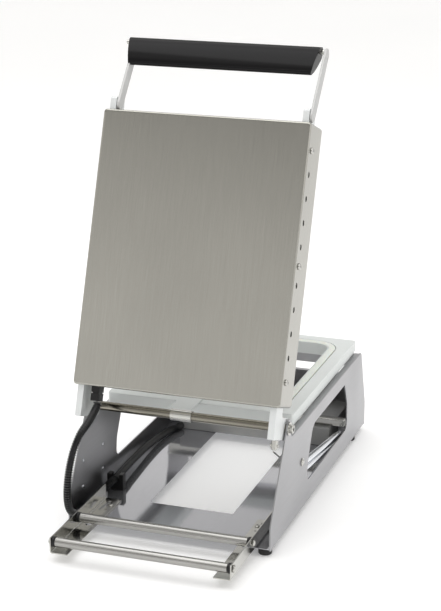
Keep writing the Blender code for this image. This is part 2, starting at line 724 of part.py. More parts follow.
def lid_arm(name, side, lid):
    """Flat bar under the cover; its foot turns on the hinge shaft."""
    outline = rounded([
        (-ARM_FRONT, ARM_TOP, 0.003),
        (-ARM_FRONT, ARM_UNDER, 0.003),
        (-0.012, ARM_UNDER, 0.005),
        (-0.012, -0.0115, 0.011),
        (ARM_HEEL, -0.0115, 0.011),
        (ARM_HEEL, ARM_TOP, 0.002),
    ])
    across = sorted((side * ARM_INSIDE, side * ARM_OUTSIDE))
    arm = prism(name, "X", outline, *across, "aluminium", lid)
    reach = sorted((side * (ARM_INSIDE - 0.002), side * (ARM_OUTSIDE + 0.002)))
    cut(arm, pins(name + "_bore", "X", [(0, 0)], SHAFT_RADIUS + GAP, *reach, lid, ROUND))
    screws = [(-u, SCREW_W) for u in SCREW_AT]
    cut(arm, pins(name + "_taps", "X", screws, 0.0023, *reach, lid))


def cover_screws(lid):
    head = COVER_HALF + GAP
    for side, x_name in ((-1, "left"), (1, "right")):
        for u, u_name in zip(SCREW_AT, ("rear", "middle", "front")):
            profile = [(0.117, 0.002), (head, 0.002), (head, 0.0038), (head + 0.0014, 0.0036),
                       (head + 0.0023, 0.0024)]
            turned(f"cover_screw_{u_name}_{x_name}", "X", [(side * x, r) for x, r in profile],
                   (-u, SCREW_W), "bright_steel", lid)


def heater(lid):
    """Heating plate, the insulation that carries it and the knife frame round it."""
    def slab(name, half_x, front, back, corner, low, high, material):
        loops = [lid_loop(half_x, front, back, corner, w) for w in (low, high)]
        add_mesh(name, [loops], material, lid)

    plate_top = 0.0140
    slab("heating_plate", 0.104, 0.319, 0.052, 0.006, COVER_EDGE - 0.0002, plate_top,
         "aluminium")
    slab("heater_insulation", ARM_INSIDE - GAP, 0.326, 0.045, 0.003, plate_top + GAP, 0.030,
         "insulation")
    blade = 0.001
    add_mesh("film_knife", [[
        lid_loop(0.1070, 0.3225, 0.0485, 0.008, plate_top),
        lid_loop(0.1070, 0.3225, 0.0485, 0.008, 0.0034),
        lid_loop(0.1070 - blade, 0.3225 - blade, 0.0485 + blade, 0.007, 0.0034),
        lid_loop(0.1070 - blade, 0.3225 - blade, 0.0485 + blade, 0.007, plate_top),
    ]], "bright_steel", lid, ring=True)


def lid_fittings(lid):
    """Gland that the conduit enters the lid by, and the stud that the cable pulls on."""
    block("lid_gland", (0.0925, 0.1075), (-COVER_BACK + GAP, -0.006), (0.028, 0.042),
          "black_plastic", lid, edge=0.0012)
    stud = turned("cable_stud", "Y", [
        (ARM_HEEL + GAP, 0.0042), (ARM_HEEL + 0.0100, 0.0042), (ARM_HEEL + 0.0118, 0.0030),
    ], (STUD_X, STUD_W), "bright_steel", lid)
    fuse(stud, pins("stud_cross_pin", "X", [(PIN_BACK, STUD_W)], 0.0018, STUD_X - 0.0052,
                    STUD_X + 0.0052, lid))


def handle(lid):
    """Two arms at the lid's front corners, with a rod through their tops inside a grip."""
    foot = (-HANDLE_FOOT[0], HANDLE_FOOT[1])
    top = (-HANDLE_TOP[0], HANDLE_TOP[1])
    rod = (-ROD_AT[0], ROD_AT[1])
    arm = tapered_slot(foot, 0.007, top, 0.007)
    outboard = -ARM_OUTSIDE - 0.0006
    inboard = ARM_INSIDE - 0.0006
    prism("handle_arm_left", "X", arm, outboard - HANDLE_BAR, outboard, "satin_steel", lid)
    right = prism("handle_arm_right", "X", arm, inboard - HANDLE_BAR, inboard, "satin_steel", lid)
    slot = (inboard - HANDLE_BAR - GAP, inboard + GAP)
    cut(right, pins("arm_bore", "X", [rod], 0.0033, *slot, lid, ROUND))
    turned("grip_rod", "X", [(outboard + GAP, 0.003), (ROD_END, 0.003)], rod, "bright_steel", lid)
    grip_hold(rod, tapered_slot(foot, 0.0073, top, 0.0073), slot, lid)


def grip_hold(rod, arm_room, slot, lid):
    """Grip with a bore for the rod, an open slot for the inboard arm and mitred ends."""
    outline = tapered_slot((-0.4315, 0.0130), 0.0095, (-0.4090, 0.0262), 0.0035)
    grip = prism("handle_grip", "X", outline, -GRIP_HALF, GRIP_HALF, "black_plastic", lid)
    cut(grip, pins("grip_bore", "X", [rod], 0.0033, -0.12, 0.12, lid, ROUND))
    cut(grip, prism("grip_slot", "X", arm_room, *slot, "black_plastic", lid))
    cut(grip, block("grip_opening", slot, (-0.4403, -0.3900), (-0.01, HANDLE_TOP[1]),
                    "black_plastic", lid))
    for side, x_name in ((-1, "left"), (1, "right")):
        wedge = sharp([(side * GRIP_FOOT, -0.4040), (side * GRIP_HALF, -0.4420),
                       (side * 0.13, -0.4420), (side * 0.13, -0.4040)])
        cut(grip, prism(f"grip_end_{x_name}", "Z", wedge, -0.01, 0.05, "black_plastic", lid))


def build():
    clear_scene()
    frame = axis_empty("hinge_axis", location=(0, HINGE_BACK, HINGE_HEIGHT))
    lid = axis_empty("lid_axis", frame, turn=-LID_ANGLE)
    mould = axis_empty("mould_axis", frame)

    left = side_plate("side_plate_left", -1, frame)
    right = side_plate("side_plate_right", 1, frame)
    cut(left, pins("guide_hole", "X", [GUIDE], 0.0028, -0.13, -0.12, frame))
    cut(right, pins("rivet_holes", "X", RIVETS, 0.0018, 0.12, 0.13, frame))
    base_plate(frame)
    feet(frame)
    cross_members(frame)
    control_housing(frame)
    front_panel(frame)
    thermostat(frame)
    power_switch(frame)
    panel_fittings(frame)
    hinge(frame)
    cradle_bracket("cradle_bracket_left", -1, frame)
    cradle_bracket("cradle_bracket_right", 1, frame)
    for where, y in ROLLER_Y.items():
        film_roller(where, y, frame)
    conduit(frame)
    counterbalance(frame)
    rating_plate(frame)

    tray_mould(mould)
    mould_strap(mould)

    lid_cover(lid)
    lid_arm("lid_arm_left", -1, lid)
    lid_arm("lid_arm_right", 1, lid)
    cover_screws(lid)
    heater(lid)
    lid_fittings(lid)
    handle(lid)


build()
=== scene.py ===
"""Looks of the manual tray sealer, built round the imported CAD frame.

Lengths are metres. Every piece is drawn from the axis of the hinge shaft, as the CAD is: x across,
y to the back, z up. Pieces of the lid are drawn with the lid closed; SPACES takes both kinds to
their places in the row frame.
"""
import functools
import json
import math

import bmesh
import bpy
from mathutils import Matrix, Vector

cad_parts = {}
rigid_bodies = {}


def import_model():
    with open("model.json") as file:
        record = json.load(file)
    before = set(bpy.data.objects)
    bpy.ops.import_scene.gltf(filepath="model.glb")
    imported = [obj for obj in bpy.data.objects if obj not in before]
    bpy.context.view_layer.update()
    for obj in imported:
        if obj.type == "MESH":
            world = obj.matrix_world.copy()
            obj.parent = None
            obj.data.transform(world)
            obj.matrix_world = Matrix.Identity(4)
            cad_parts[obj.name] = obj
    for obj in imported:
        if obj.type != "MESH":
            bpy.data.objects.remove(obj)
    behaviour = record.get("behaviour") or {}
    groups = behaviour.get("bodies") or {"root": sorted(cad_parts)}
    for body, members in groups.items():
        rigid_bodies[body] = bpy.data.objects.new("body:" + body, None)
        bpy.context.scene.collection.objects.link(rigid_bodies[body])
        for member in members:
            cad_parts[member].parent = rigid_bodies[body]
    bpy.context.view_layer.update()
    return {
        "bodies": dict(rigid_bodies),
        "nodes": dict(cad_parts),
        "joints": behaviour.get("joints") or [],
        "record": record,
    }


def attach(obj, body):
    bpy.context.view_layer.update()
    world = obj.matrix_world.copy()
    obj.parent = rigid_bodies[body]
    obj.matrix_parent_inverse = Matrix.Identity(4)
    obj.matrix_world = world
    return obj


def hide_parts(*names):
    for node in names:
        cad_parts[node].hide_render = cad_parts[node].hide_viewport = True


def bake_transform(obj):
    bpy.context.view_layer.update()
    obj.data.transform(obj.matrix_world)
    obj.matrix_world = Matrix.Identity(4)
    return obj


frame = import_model()

JOINTS = {joint["name"]: joint for joint in frame["joints"]}
HINGE = Vector(JOINTS["lid_hinge"]["pos_m"])
LID_TURN = math.radians(JOINTS["lid_hinge"]["range_deg"][0])
FRAME_SPACE = Matrix.Translation(HINGE)
LID_SPACE = FRAME_SPACE @ Matrix.Rotation(LID_TURN, 4, "X")
SPACES = {body: LID_SPACE if body == "lid" else FRAME_SPACE for body in frame["bodies"]}
BODY_OF = {
    node: body
    for body, members in frame["record"]["behaviour"]["bodies"].items()
    for node in members
}


def span(node):
    """Lowest and highest corner of a CAD node in the space that its body is drawn in."""
    home = SPACES[BODY_OF[node]].inverted()
    points = [home @ vertex.co for vertex in frame["nodes"][node].data.vertices]
    low = Vector([min(point[axis] for point in points) for axis in range(3)])
    high = Vector([max(point[axis] for point in points) for axis in range(3)])
    return low, high


def middle(node):
    low, high = span(node)
    return (low + high) / 2


# Driving sizes, read from the frame.
PLATE_LOW, PLATE_HIGH = span("side_plate_left")
BASE_LOW, BASE_HIGH = span("base_plate")
COVER_LOW, COVER_HIGH = span("lid_cover")
ARM_LOW, ARM_HIGH = span("lid_arm_right")
MOULD_LOW, MOULD_HIGH = span("tray_mould")
SHAFT_HIGH = span("hinge_shaft")[1]
PANEL_LOW, PANEL_HIGH = span("front_panel")
GAP = 0.0003                           # clearance between two pieces that touch
HALF_WIDTH = -PLATE_LOW.x              # outer face of a side plate
SHEET = 0.0015                         # side plates and brackets
INNER = HALF_WIDTH - SHEET
FRAME_FRONT, FRAME_BACK = PLATE_LOW.y, PLATE_HIGH.y
FRAME_BOTTOM = PLATE_LOW.z
BASE_TOP = BASE_HIGH.z
LEDGE_TOP = MOULD_LOW.z - GAP
LEDGE_EDGE = 0.1174                    # inner edges of the ledge and the foot flange, in x
FLANGE_EDGE = 0.105
LEDGE_RUN = (-0.327, -0.025)           # their ends, in y
FLANGE_RUN = (-0.356, 0.062)
SHAFT_RADIUS = SHAFT_HIGH.z
PANEL_SHEET = 0.0012
CONTROL_Z = middle("thermostat_knob").z
CONDUIT_RADIUS = 0.0048
COVER_SHEET = 0.001
COVER_SCREWS = [middle(f"cover_screw_{at}_left") for at in ("rear", "middle", "front")]
AXLE = 0.003                           # radius of a roller's axle and of the knob's stem
AXLE_BORE = AXLE + GAP
BOLT_BORE = 0.0033                     # hole for a shaft bolt, in the side plate and the shaft
GUIDE = (middle("cable_guide").y, middle("cable_guide").z)
GUIDE_GROOVE = 0.0066                  # radius that the pull cable lies on
RIVETS = ((-0.0366, -0.0647), (-0.0350, -0.0968), (0.0241, -0.0635), (0.0260, -0.0963))
HANDS = ((-1, "left"), (1, "right"))   # sign of x and name of each side
FRONT = (0, -1, 0)                     # direction from the machine to its operator

SIDES = 48                             # facets of a turned piece
EDGE = 0.00035                         # usual broken edge of a sheet


# ---------------------------------------------------------------- outlines and loops

def place(axis, along, a, b):
    """Point from a distance along an axis and its two other coordinates in X, Y, Z order."""
    return Vector({"X": (along, a, b), "Y": (a, along, b), "Z": (a, b, along)}[axis])


def outward(side, a, b):
    """Low and high x of what lies between two distances from the middle plane, on one side."""
    return sorted((side * a, side * b))


def rounded(corners, steps=8):
    """Outline through corners (a, b, radius), each corner turned by an arc of its radius."""
    outline = []
    for i, (a, b, radius) in enumerate(corners):
        here = Vector((a, b))
        if radius == 0:
            outline.append(here)
            continue
        back = (Vector(corners[i - 1][:2]) - here).normalized()
        ahead = (Vector(corners[(i + 1) % len(corners)][:2]) - here).normalized()
        half = back.angle(ahead) / 2
        centre = here + (back + ahead).normalized() * radius / math.sin(half)
        start = here + back * radius / math.tan(half) - centre
        sweep = math.pi - 2 * half
        if back.x * ahead.y - back.y * ahead.x > 0:
            sweep = -sweep
        for k in range(steps + 1):
            c, s = math.cos(sweep * k / steps), math.sin(sweep * k / steps)
            outline.append(centre + Vector((start.x * c - start.y * s, start.x * s + start.y * c)))
    return outline


def polar(turn, radius=1.0, at=(0, 0)):
    """Point at an angle in radians and a distance from a centre."""
    return Vector(at) + radius * Vector((math.cos(turn), math.sin(turn)))


def sharp(corners):
    return [Vector(corner) for corner in corners]


def rectangle(a0, a1, b0, b1):
    return sharp([(a0, b0), (a1, b0), (a1, b1), (a0, b1)])


def tapered_slot(a, radius_a, b, radius_b, steps=20):
    """Outline round two circles and the lines that touch both."""
    a, b = Vector(a), Vector(b)
    run = b - a
    heading = math.atan2(run.y, run.x)
    lean = math.acos((radius_a - radius_b) / run.length)
    outline = []
    for centre, radius, start, sweep in (
        (b, radius_b, heading - lean, 2 * lean),
        (a, radius_a, heading + lean, 2 * (math.pi - lean)),
    ):
        outline += [polar(start + sweep * k / steps, radius, centre) for k in range(steps + 1)]
    return outline


def bulged(outline, rise):
    """Outline whose two long sides swell outwards in a low arch."""
    swollen = []
    for here, there in zip(outline, outline[1:] + outline[:1]):
        swollen.append(here)
        along = there - here
        if along.length > 8 * rise:
            out = Vector((along.y, -along.x)).normalized()
            for k in range(1, 12):
                part = k / 12
                swollen.append(here + along * part + out * rise * 4 * part * (1 - part))
    return swollen


def arc(centre, radius, start, end, steps):
    """Points of an arc; start and end are in degrees."""
    turns = [math.radians(start + (end - start) * k / steps) for k in range(steps + 1)]
    return [polar(turn, radius, centre) for turn in turns]


def ring_of(radius, sides, at=(0, 0)):
    """Regular outline round a centre."""
    return [polar(2 * math.pi * k / sides, radius, at) for k in range(sides)]


# Cosine and sine at each 15 degrees of a quarter turn.
QUARTER = [(math.cos(math.radians(15 * k)), math.sin(math.radians(15 * k))) for k in range(7)]


def frame_loop(half_x, y_front, y_back, corner, z, steps=8):
    """Loop of points round a rectangle with round corners, at height z."""
    corners = ((-half_x, y_front), (half_x, y_front), (half_x, y_back), (-half_x, y_back))
    outline = rounded([(*at, corner) for at in corners], steps)
    return [Vector((*point, z)) for point in outline]


def lid_loop(half_x, front, back, corner, w, steps=8):
    """Frame loop in the closed lid, with distances forward of the hinge axis."""
    return frame_loop(half_x, -front, -back, corner, w, steps)


def smooth_route(route, spacing):
    """Evenly spaced points on a Catmull-Rom curve through the route's points."""
    knots = [Vector(point) for point in route]
    knots = [2 * knots[0] - knots[1], *knots, 2 * knots[-1] - knots[-2]]
    fine = []
    for p0, p1, p2, p3 in zip(knots, knots[1:], knots[2:], knots[3:]):
        for k in range(24):
            t = k / 24
            fine.append(0.5 * (
                2 * p1 + (p2 - p0) * t + (2 * p0 - 5 * p1 + 4 * p2 - p3) * t ** 2
                + (3 * p1 - p0 - 3 * p2 + p3) * t ** 3
            ))
    fine.append(knots[-2])
    length = sum((b - a).length for a, b in zip(fine, fine[1:]))
    count = max(2, round(length / spacing))
    step = length / count
    points = [fine[0]]
    walked = 0.0
    for a, b in zip(fine, fine[1:]):
        along = (b - a).length
        while len(points) < count and walked + along >= step * len(points):
            points.append(a.lerp(b, (step * len(points) - walked) / along))
        walked += along
    points.append(fine[-1])
    return points


def pipe(points, radius_at, sides):
    """Loops of a tube round a line of points; radius_at(k) is its radius at point k."""
    loops = []
    normal = None
    for k, point in enumerate(points):
        ahead = (points[min(k + 1, len(points) - 1)] - points[max(k - 1, 0)]).normalized()
        if normal is None:
            normal = ahead.orthogonal()
        normal = (normal - ahead * normal.dot(ahead)).normalized()
        across = ahead.cross(normal)
        loops.append([
            point + radius_at(k) * (normal * spoke.x + across * spoke.y)
            for spoke in ring_of(1.0, sides)
        ])
    return loops


# ---------------------------------------------------------------- meshes and pieces

def finished(bm, name):
    """Mesh of what bmesh holds."""
    mesh = bpy.data.meshes.new(name)
    bm.to_mesh(mesh)
    bm.free()
    return mesh


def mesh_of(bodies, ring=False):
    """Mesh of closed bodies, each a list of equal loops that are capped or joined into a ring."""
    bm = bmesh.new()
    for loops in bodies:
        rows = [[bm.verts.new(point) for point in loop] for loop in loops]
        pairs = list(zip(rows, rows[1:]))
        if ring:
            pairs.append((rows[-1], rows[0]))
        else:
            bm.faces.new(rows[0])
            bm.faces.new(rows[-1])
        for low, high in pairs:
            for i in range(len(low)):
                j = (i + 1) % len(low)
                bm.faces.new((low[i], low[j], high[j], high[i]))
    bmesh.ops.recalc_face_normals(bm, faces=bm.faces)
    return finished(bm, "made")


def prisms(axis, outlines, low, high):
    """Outlines swept from low to high along an axis, as one mesh."""
    return mesh_of([
        [[place(axis, along, *point) for point in outline] for along in (low, high)]
        for outline in outlines
    ])


def prism(axis, outline, low, high):
    return prisms(axis, [outline], low, high)


def box(x, y, z):
    """Block between two values of x, y and z, each pair in either order."""
    return prism("Z", rectangle(*sorted(x), *sorted(y)), *sorted(z))


def block(low, high):
    """Block between two corners."""
    return box(*zip(low, high))


def control_block(x, half_x, y, half_z):
    """Block that is centred on the row of controls."""
    return box((x - half_x, x + half_x), y, (CONTROL_Z - half_z, CONTROL_Z + half_z))


def lathe(profile, at=(0, 0, 0), towards=(0, 0, 1), ring=False, sides=SIDES):
    """Turned mesh; profile is (distance towards, radius) from a point."""
    loops = [[Vector((*spoke, along)) for spoke in ring_of(radius, sides)]
             for along, radius in profile]
    mesh = mesh_of([loops], ring)
    mesh.transform(aimed(at, towards))
    return mesh


def chamfered(low, high, radius, chamfer, bore=None):
    """Profile of a bar with chamfered ends, or of a tube if it has a bore."""
    profile = [(low, radius - chamfer), (low + chamfer, radius), (high - chamfer, radius),
               (high, radius - chamfer)]
    return [(low, bore), *profile, (high, bore)] if bore else profile


def aimed(at, towards):
    """Matrix that puts +Z along a direction and the origin at a point."""
    turn = Vector(towards).to_track_quat("Z", "Y").to_matrix().to_4x4()
    return Matrix.Translation(at) @ turn


def placed(name, data):
    """Object of a mesh, light or camera, in the scene."""
    made = bpy.data.objects.new(name, data)
    bpy.context.scene.collection.objects.link(made)
    return made


def combined(mesh, operation, tools):
    """Mesh after a Boolean operation with each tool mesh in turn."""
    target, *others = [placed("solid", each) for each in (mesh, *tools)]
    for other in others:
        step = target.modifiers.new("step", "BOOLEAN")
        step.operation = operation
        step.solver = "EXACT"
        step.object = other
    graph = bpy.context.evaluated_depsgraph_get()
    result = bpy.data.meshes.new_from_object(target.evaluated_get(graph))
    for thing in (target, *others):
        bpy.data.objects.remove(thing, do_unlink=True)
    return result


def cut(mesh, *tools):
    return combined(mesh, "DIFFERENCE", tools)


def fused(mesh, *tools):
    return combined(mesh, "UNION", tools)


def joined(*meshes):
    """One mesh that holds several bodies."""
    bm = bmesh.new()
    for mesh in meshes:
        bm.from_mesh(mesh)
    return finished(bm, "joined")


def show(name, mesh, look, body=None, edge=EDGE, segments=2, rides=True):
    """Object of a finished mesh, with its look, broken edges and body.

    It stands for the CAD node of its name, unless it is an extra piece that names its body.
    """
    home = body or BODY_OF[name]
    mesh.transform(SPACES[home])
    mesh.name = name
    mesh.materials.clear()
    mesh.materials.append(LOOKS[look]())
    mesh.shade_smooth()
    made = placed(name, mesh)
    if edge:
        bevel = made.modifiers.new("edges", "BEVEL")
        bevel.width = edge
        bevel.segments = segments
        bevel.limit_method = "ANGLE"
        bevel.angle_limit = math.radians(38)
        bevel.miter_outer = "MITER_ARC"
        even = made.modifiers.new("normals", "WEIGHTED_NORMAL")
        even.weight = 90
    else:
        mesh.set_sharp_from_angle(angle=math.radians(40))
    if rides:
        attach(made, home)
    SLOT_OF.get(look, look)
    if body is None:
        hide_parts(name)
    return made


# ---------------------------------------------------------------- materials

LOOKS = {}                             # what makes each look, by its name


def listed(build):
    """Put a material function in LOOKS; it is called once, with its own name."""
    LOOKS[build.__name__] = functools.cache(lambda: build(build.__name__))
    return build


def principled(name, colour, metallic, roughness):
    made = bpy.data.materials.new(name)
    made.use_nodes = True
    shader = made.node_tree.nodes["Principled BSDF"]
    shader.inputs["Base Color"].default_value = (*colour, 1.0)
    shader.inputs["Metallic"].default_value = metallic
    shader.inputs["Roughness"].default_value = roughness
    return made, made.node_tree, shader


def noise(tree, grain, detail=3.0, turn=0.0, rough=0.55):
    """Noise with grains of a size in metres along X, Y and Z, after a turn about X."""
    where = tree.nodes.new("ShaderNodeTexCoord")
    mapping = tree.nodes.new("ShaderNodeMapping")
    mapping.vector_type = "TEXTURE"
    mapping.inputs["Rotation"].default_value = (turn, 0, 0)
    mapping.inputs["Scale"].default_value = grain
    texture = tree.nodes.new("ShaderNodeTexNoise")
    texture.inputs["Scale"].default_value = 1.0
    texture.inputs["Detail"].default_value = detail
    texture.inputs["Roughness"].default_value = rough
    tree.links.new(where.outputs["Object"], mapping.inputs["Vector"])
    tree.links.new(mapping.outputs["Vector"], texture.inputs["Vector"])
    return texture.outputs[0]


def specks(tree, size, detail=2.0):
    """Noise with round grains of one size."""
    return noise(tree, (size, size, size), detail)


def spread(tree, value, low, high):
    """Noise value, which is mostly from 0.3 to 0.7, taken to the range low to high."""
    node = tree.nodes.new("ShaderNodeMapRange")
    node.inputs["From Min"].default_value = 0.3
    node.inputs["From Max"].default_value = 0.7
    node.inputs["To Min"].default_value = low
    node.inputs["To Max"].default_value = high
    tree.links.new(value, node.inputs["Value"])
    return node.outputs["Result"]


def tint(tree, factor, first, second):
    """Colour between two colours or colour outputs, by a factor."""
    node = tree.nodes.new("ShaderNodeMix")
    node.data_type = "RGBA"
    tree.links.new(factor, node.inputs["Factor"])
    for socket, colour in (("A", first), ("B", second)):
        target = next(s for s in node.inputs if s.name == socket and s.type == "RGBA")
        if isinstance(colour, tuple):
            target.default_value = (*colour, 1.0)
        else:
            tree.links.new(colour, target)
    return next(s for s in node.outputs if s.type == "RGBA")


def bump(tree, shader, height, strength, distance):
    node = tree.nodes.new("ShaderNodeBump")
    node.inputs["Strength"].default_value = strength
    node.inputs["Distance"].default_value = distance
    tree.links.new(height, node.inputs["Height"])
    tree.links.new(node.outputs["Normal"], shader.inputs["Normal"])


def dress(tree, shader, pattern, first, second, gloss=None, roughness=None):
    """Colour between two colours by one pattern, and roughness in a range by another."""
    colour = tint(tree, spread(tree, pattern, 0.0, 1.0), first, second)
    tree.links.new(colour, shader.inputs["Base Color"])
    if gloss:
        tree.links.new(spread(tree, gloss, *roughness), shader.inputs["Roughness"])


def brushed(name, dark, light, roughness, grain, turn=0.0, scratch=0.25, metallic=1.0):
    """Metal with fine streaks along its grain, and broad faint handling marks. On the hinge shaft
    the streaks are coarse bands of painted reflection instead.
    """
    made, tree, shader = principled(name, light, metallic, roughness[0])
    streaks = noise(tree, grain, 4.0, turn)
    clouds = noise(tree, (0.12, 0.12, 0.12), 1.0, turn)
    shade = tint(tree, spread(tree, streaks, 0.0, 1.0), dark, light)
    worn = tint(tree, spread(tree, clouds, 0.0, 0.35), shade, dark)
    tree.links.new(worn, shader.inputs["Base Color"])
    tree.links.new(spread(tree, clouds, *roughness), shader.inputs["Roughness"])
    bump(tree, shader, streaks, scratch, 0.00004)
    return made


ALONG_X = (0.040, 0.0003, 0.0003)      # grain sizes of streaks that run along one axis
ALONG_Y = (0.0003, 0.040, 0.0003)


@listed
def satin_steel(name):
    return brushed(name, (0.36, 0.36, 0.37), (0.43, 0.43, 0.445), (0.28, 0.38), ALONG_Y)


@listed
def lid_steel(name):
    return brushed(name, (0.37, 0.362, 0.33), (0.43, 0.422, 0.385), (0.17, 0.22), ALONG_Y,
                   LID_TURN, 0.2)


@listed
def bright_steel(name):
    return brushed(name, (0.48, 0.475, 0.445), (0.62, 0.615, 0.59), (0.12, 0.20), ALONG_X, 0.0,
                   0.08)


# Painted reflection: the wide dark-to-light brownish bands along the shaft stand for reflected dark
# surroundings. They are not grain.
@listed
def shaft_steel_painted_reflection(name):
    return brushed(name, (0.13, 0.12, 0.10), (0.42, 0.40, 0.34), (0.12, 0.20),
                   (0.30, 0.0012, 0.0012), 0.0, 0.08)


@listed
def spring_steel(name):
    return brushed(name, (0.72, 0.74, 0.77), (0.86, 0.88, 0.91), (0.10, 0.18), ALONG_Y)


@listed
def ground_steel(name):
    return brushed(name, (0.30, 0.295, 0.28), (0.47, 0.465, 0.45), (0.22, 0.30), ALONG_X, 0.0, 0.12)


@listed
def mirror_steel(name):
    return brushed(name, (0.47, 0.475, 0.50), (0.54, 0.545, 0.575), (0.05, 0.10), ALONG_Y,
                   0.0, 0.02, 0.82)


@listed
def aluminium(name):
    return brushed(name, (0.70, 0.72, 0.72), (0.78, 0.80, 0.80), (0.38, 0.48), ALONG_Y,
                   LID_TURN, 0.1, 0.25)


@listed
def bare_aluminium(name):
    return brushed(name, (0.50, 0.50, 0.495), (0.58, 0.58, 0.575), (0.38, 0.48), ALONG_Y,
                   LID_TURN, 0.1, 0.3)


@listed
def label_aluminium(name):
    return brushed(name, (0.50, 0.50, 0.49), (0.62, 0.62, 0.61), (0.28, 0.38), ALONG_Y)


@listed
def anodised(name):
    made, tree, shader = principled(name, (0.70, 0.73, 0.72), 0.2, 0.42)
    clouds = specks(tree, 0.05, 3.0)
    dress(tree, shader, clouds, (0.68, 0.71, 0.70), (0.74, 0.77, 0.76), clouds, (0.36, 0.48))
    bump(tree, shader, specks(tree, 0.0006), 0.15, 0.00003)
    return made


@listed
def grey_paint(name):
    made, tree, shader = principled(name, (0.30, 0.30, 0.30), 0.0, 0.5)
    peel = specks(tree, 0.0012)
    dress(tree, shader, specks(tree, 0.04), (0.27, 0.27, 0.27), (0.33, 0.33, 0.325), peel,
          (0.42, 0.55))
    bump(tree, shader, peel, 0.35, 0.00005)
    return made


def moulded(name, colour, roughness, texture, specular=0.4):
    """Moulded plastic or rubber: a fine even texture with slow changes of gloss."""
    made, tree, shader = principled(name, colour, 0.0, roughness[0])
    pebble = specks(tree, texture)
    lighter = tuple(min(1.0, channel * 1.35 + 0.002) for channel in colour)
    dress(tree, shader, pebble, colour, lighter, specks(tree, 0.03), roughness)
    bump(tree, shader, pebble, 0.2, 0.00003)
    shader.inputs["Specular IOR Level"].default_value = specular
    return made


@listed
def grip_plastic(name):
    return moulded(name, (0.003, 0.0027, 0.0032), (0.11, 0.16), 0.0005, 0.19)


@listed
def black_plastic(name):
    return moulded(name, (0.008, 0.008, 0.0085), (0.28, 0.38), 0.0005, 0.3)


@listed
def conduit_black(name):
    return moulded(name, (0.004, 0.004, 0.0045), (0.14, 0.20), 0.0008, 0.6)


@listed
def black_rubber(name):
    return moulded(name, (0.020, 0.020, 0.020), (0.62, 0.78), 0.0004)


@listed
def silicone(name):
    made = moulded(name, (0.66, 0.645, 0.59), (0.45, 0.58), 0.0008)
    made.node_tree.nodes["Principled BSDF"].inputs["Subsurface Weight"].default_value = 0.15
    return made


@listed
def insulation(name):
    made, tree, shader = principled(name, (0.62, 0.59, 0.53), 0.0, 0.9)
    fibres = noise(tree, (0.006, 0.0012, 0.0012), 5.0, LID_TURN, 0.7)
    dress(tree, shader, fibres, (0.50, 0.47, 0.41), (0.72, 0.69, 0.62), fibres, (0.8, 0.95))
    bump(tree, shader, fibres, 0.6, 0.0004)
    return made


@listed
def amber_lens(name):
    made, tree, shader = principled(name, (0.75, 0.20, 0.02), 0.0, 0.12)
    clouds = specks(tree, 0.003)
    dress(tree, shader, clouds, (0.62, 0.15, 0.01), (0.85, 0.28, 0.03), clouds, (0.08, 0.16))
    shader.inputs["Transmission Weight"].default_value = 0.4
    return made


@listed
def heater_coat(name):
    """Heating plate with a dull release coating."""
    return brushed(name, (0.30, 0.29, 0.27), (0.40, 0.39, 0.37), (0.42, 0.55), ALONG_X,
                   LID_TURN, 0.15, 0.8)


SLOT_OF = {
    "lid_steel": "satin_steel",
    "shaft_steel_painted_reflection": "bright_steel",
    "ground_steel": "bright_steel",
    "spring_steel": "bright_steel",
    "bare_aluminium": "aluminium",
    "label_aluminium": "aluminium",
    "heater_coat": "aluminium",
    "grip_plastic": "black_plastic",
}


# ---------------------------------------------------------------- fasteners

def cross_recess(size, depth, height):
    """Tool for a cross recess that goes down from a height."""
    arm = size * 0.22
    bar = box((-size, size), (-arm, arm), (height - depth, height + size))
    other = box((-arm, arm), (-size, size), (height - depth, height + size))
    return fused(bar, other)


def pan_head(radius, height, at, towards, stem=None):
    """Pan-head screw with a cross recess; stem is its (radius, length)."""
    profile = [(height, radius * 0.30), (height * 0.93, radius * 0.62),
               (height * 0.72, radius * 0.88), (height * 0.35, radius), (0, radius)]
    if stem:
        profile += [(0, stem[0]), (-stem[1], stem[0])]
    head = cut(lathe(profile, sides=32), cross_recess(radius * 0.52, height * 0.6, height))
    head.transform(aimed(at, towards))
    return head


def socket_head(radius, height, at, towards):
    """Cap screw head with a hexagon socket."""
    head = lathe([(height, radius * 0.86), (height * 0.8, radius), (0, radius)], sides=40)
    head = cut(head, prism("Z", ring_of(radius * 0.52, 6), height * 0.35, height * 2))
    head.transform(aimed(at, towards))
    return head


def dome_nut(radius, height, at, towards):
    """Hexagon nut with a domed cap."""
    hexagon = prism("Z", ring_of(radius, 6), 0, height * 0.45)
    cap = radius * 0.80
    dome = [(height * (0.45 + 0.55 * s), cap * c + 1e-5) for c, s in QUARTER]
    nut = fused(hexagon, lathe([(0, cap), *dome], sides=32))
    nut.transform(aimed(at, towards))
    return nut


# ---------------------------------------------------------------- frame

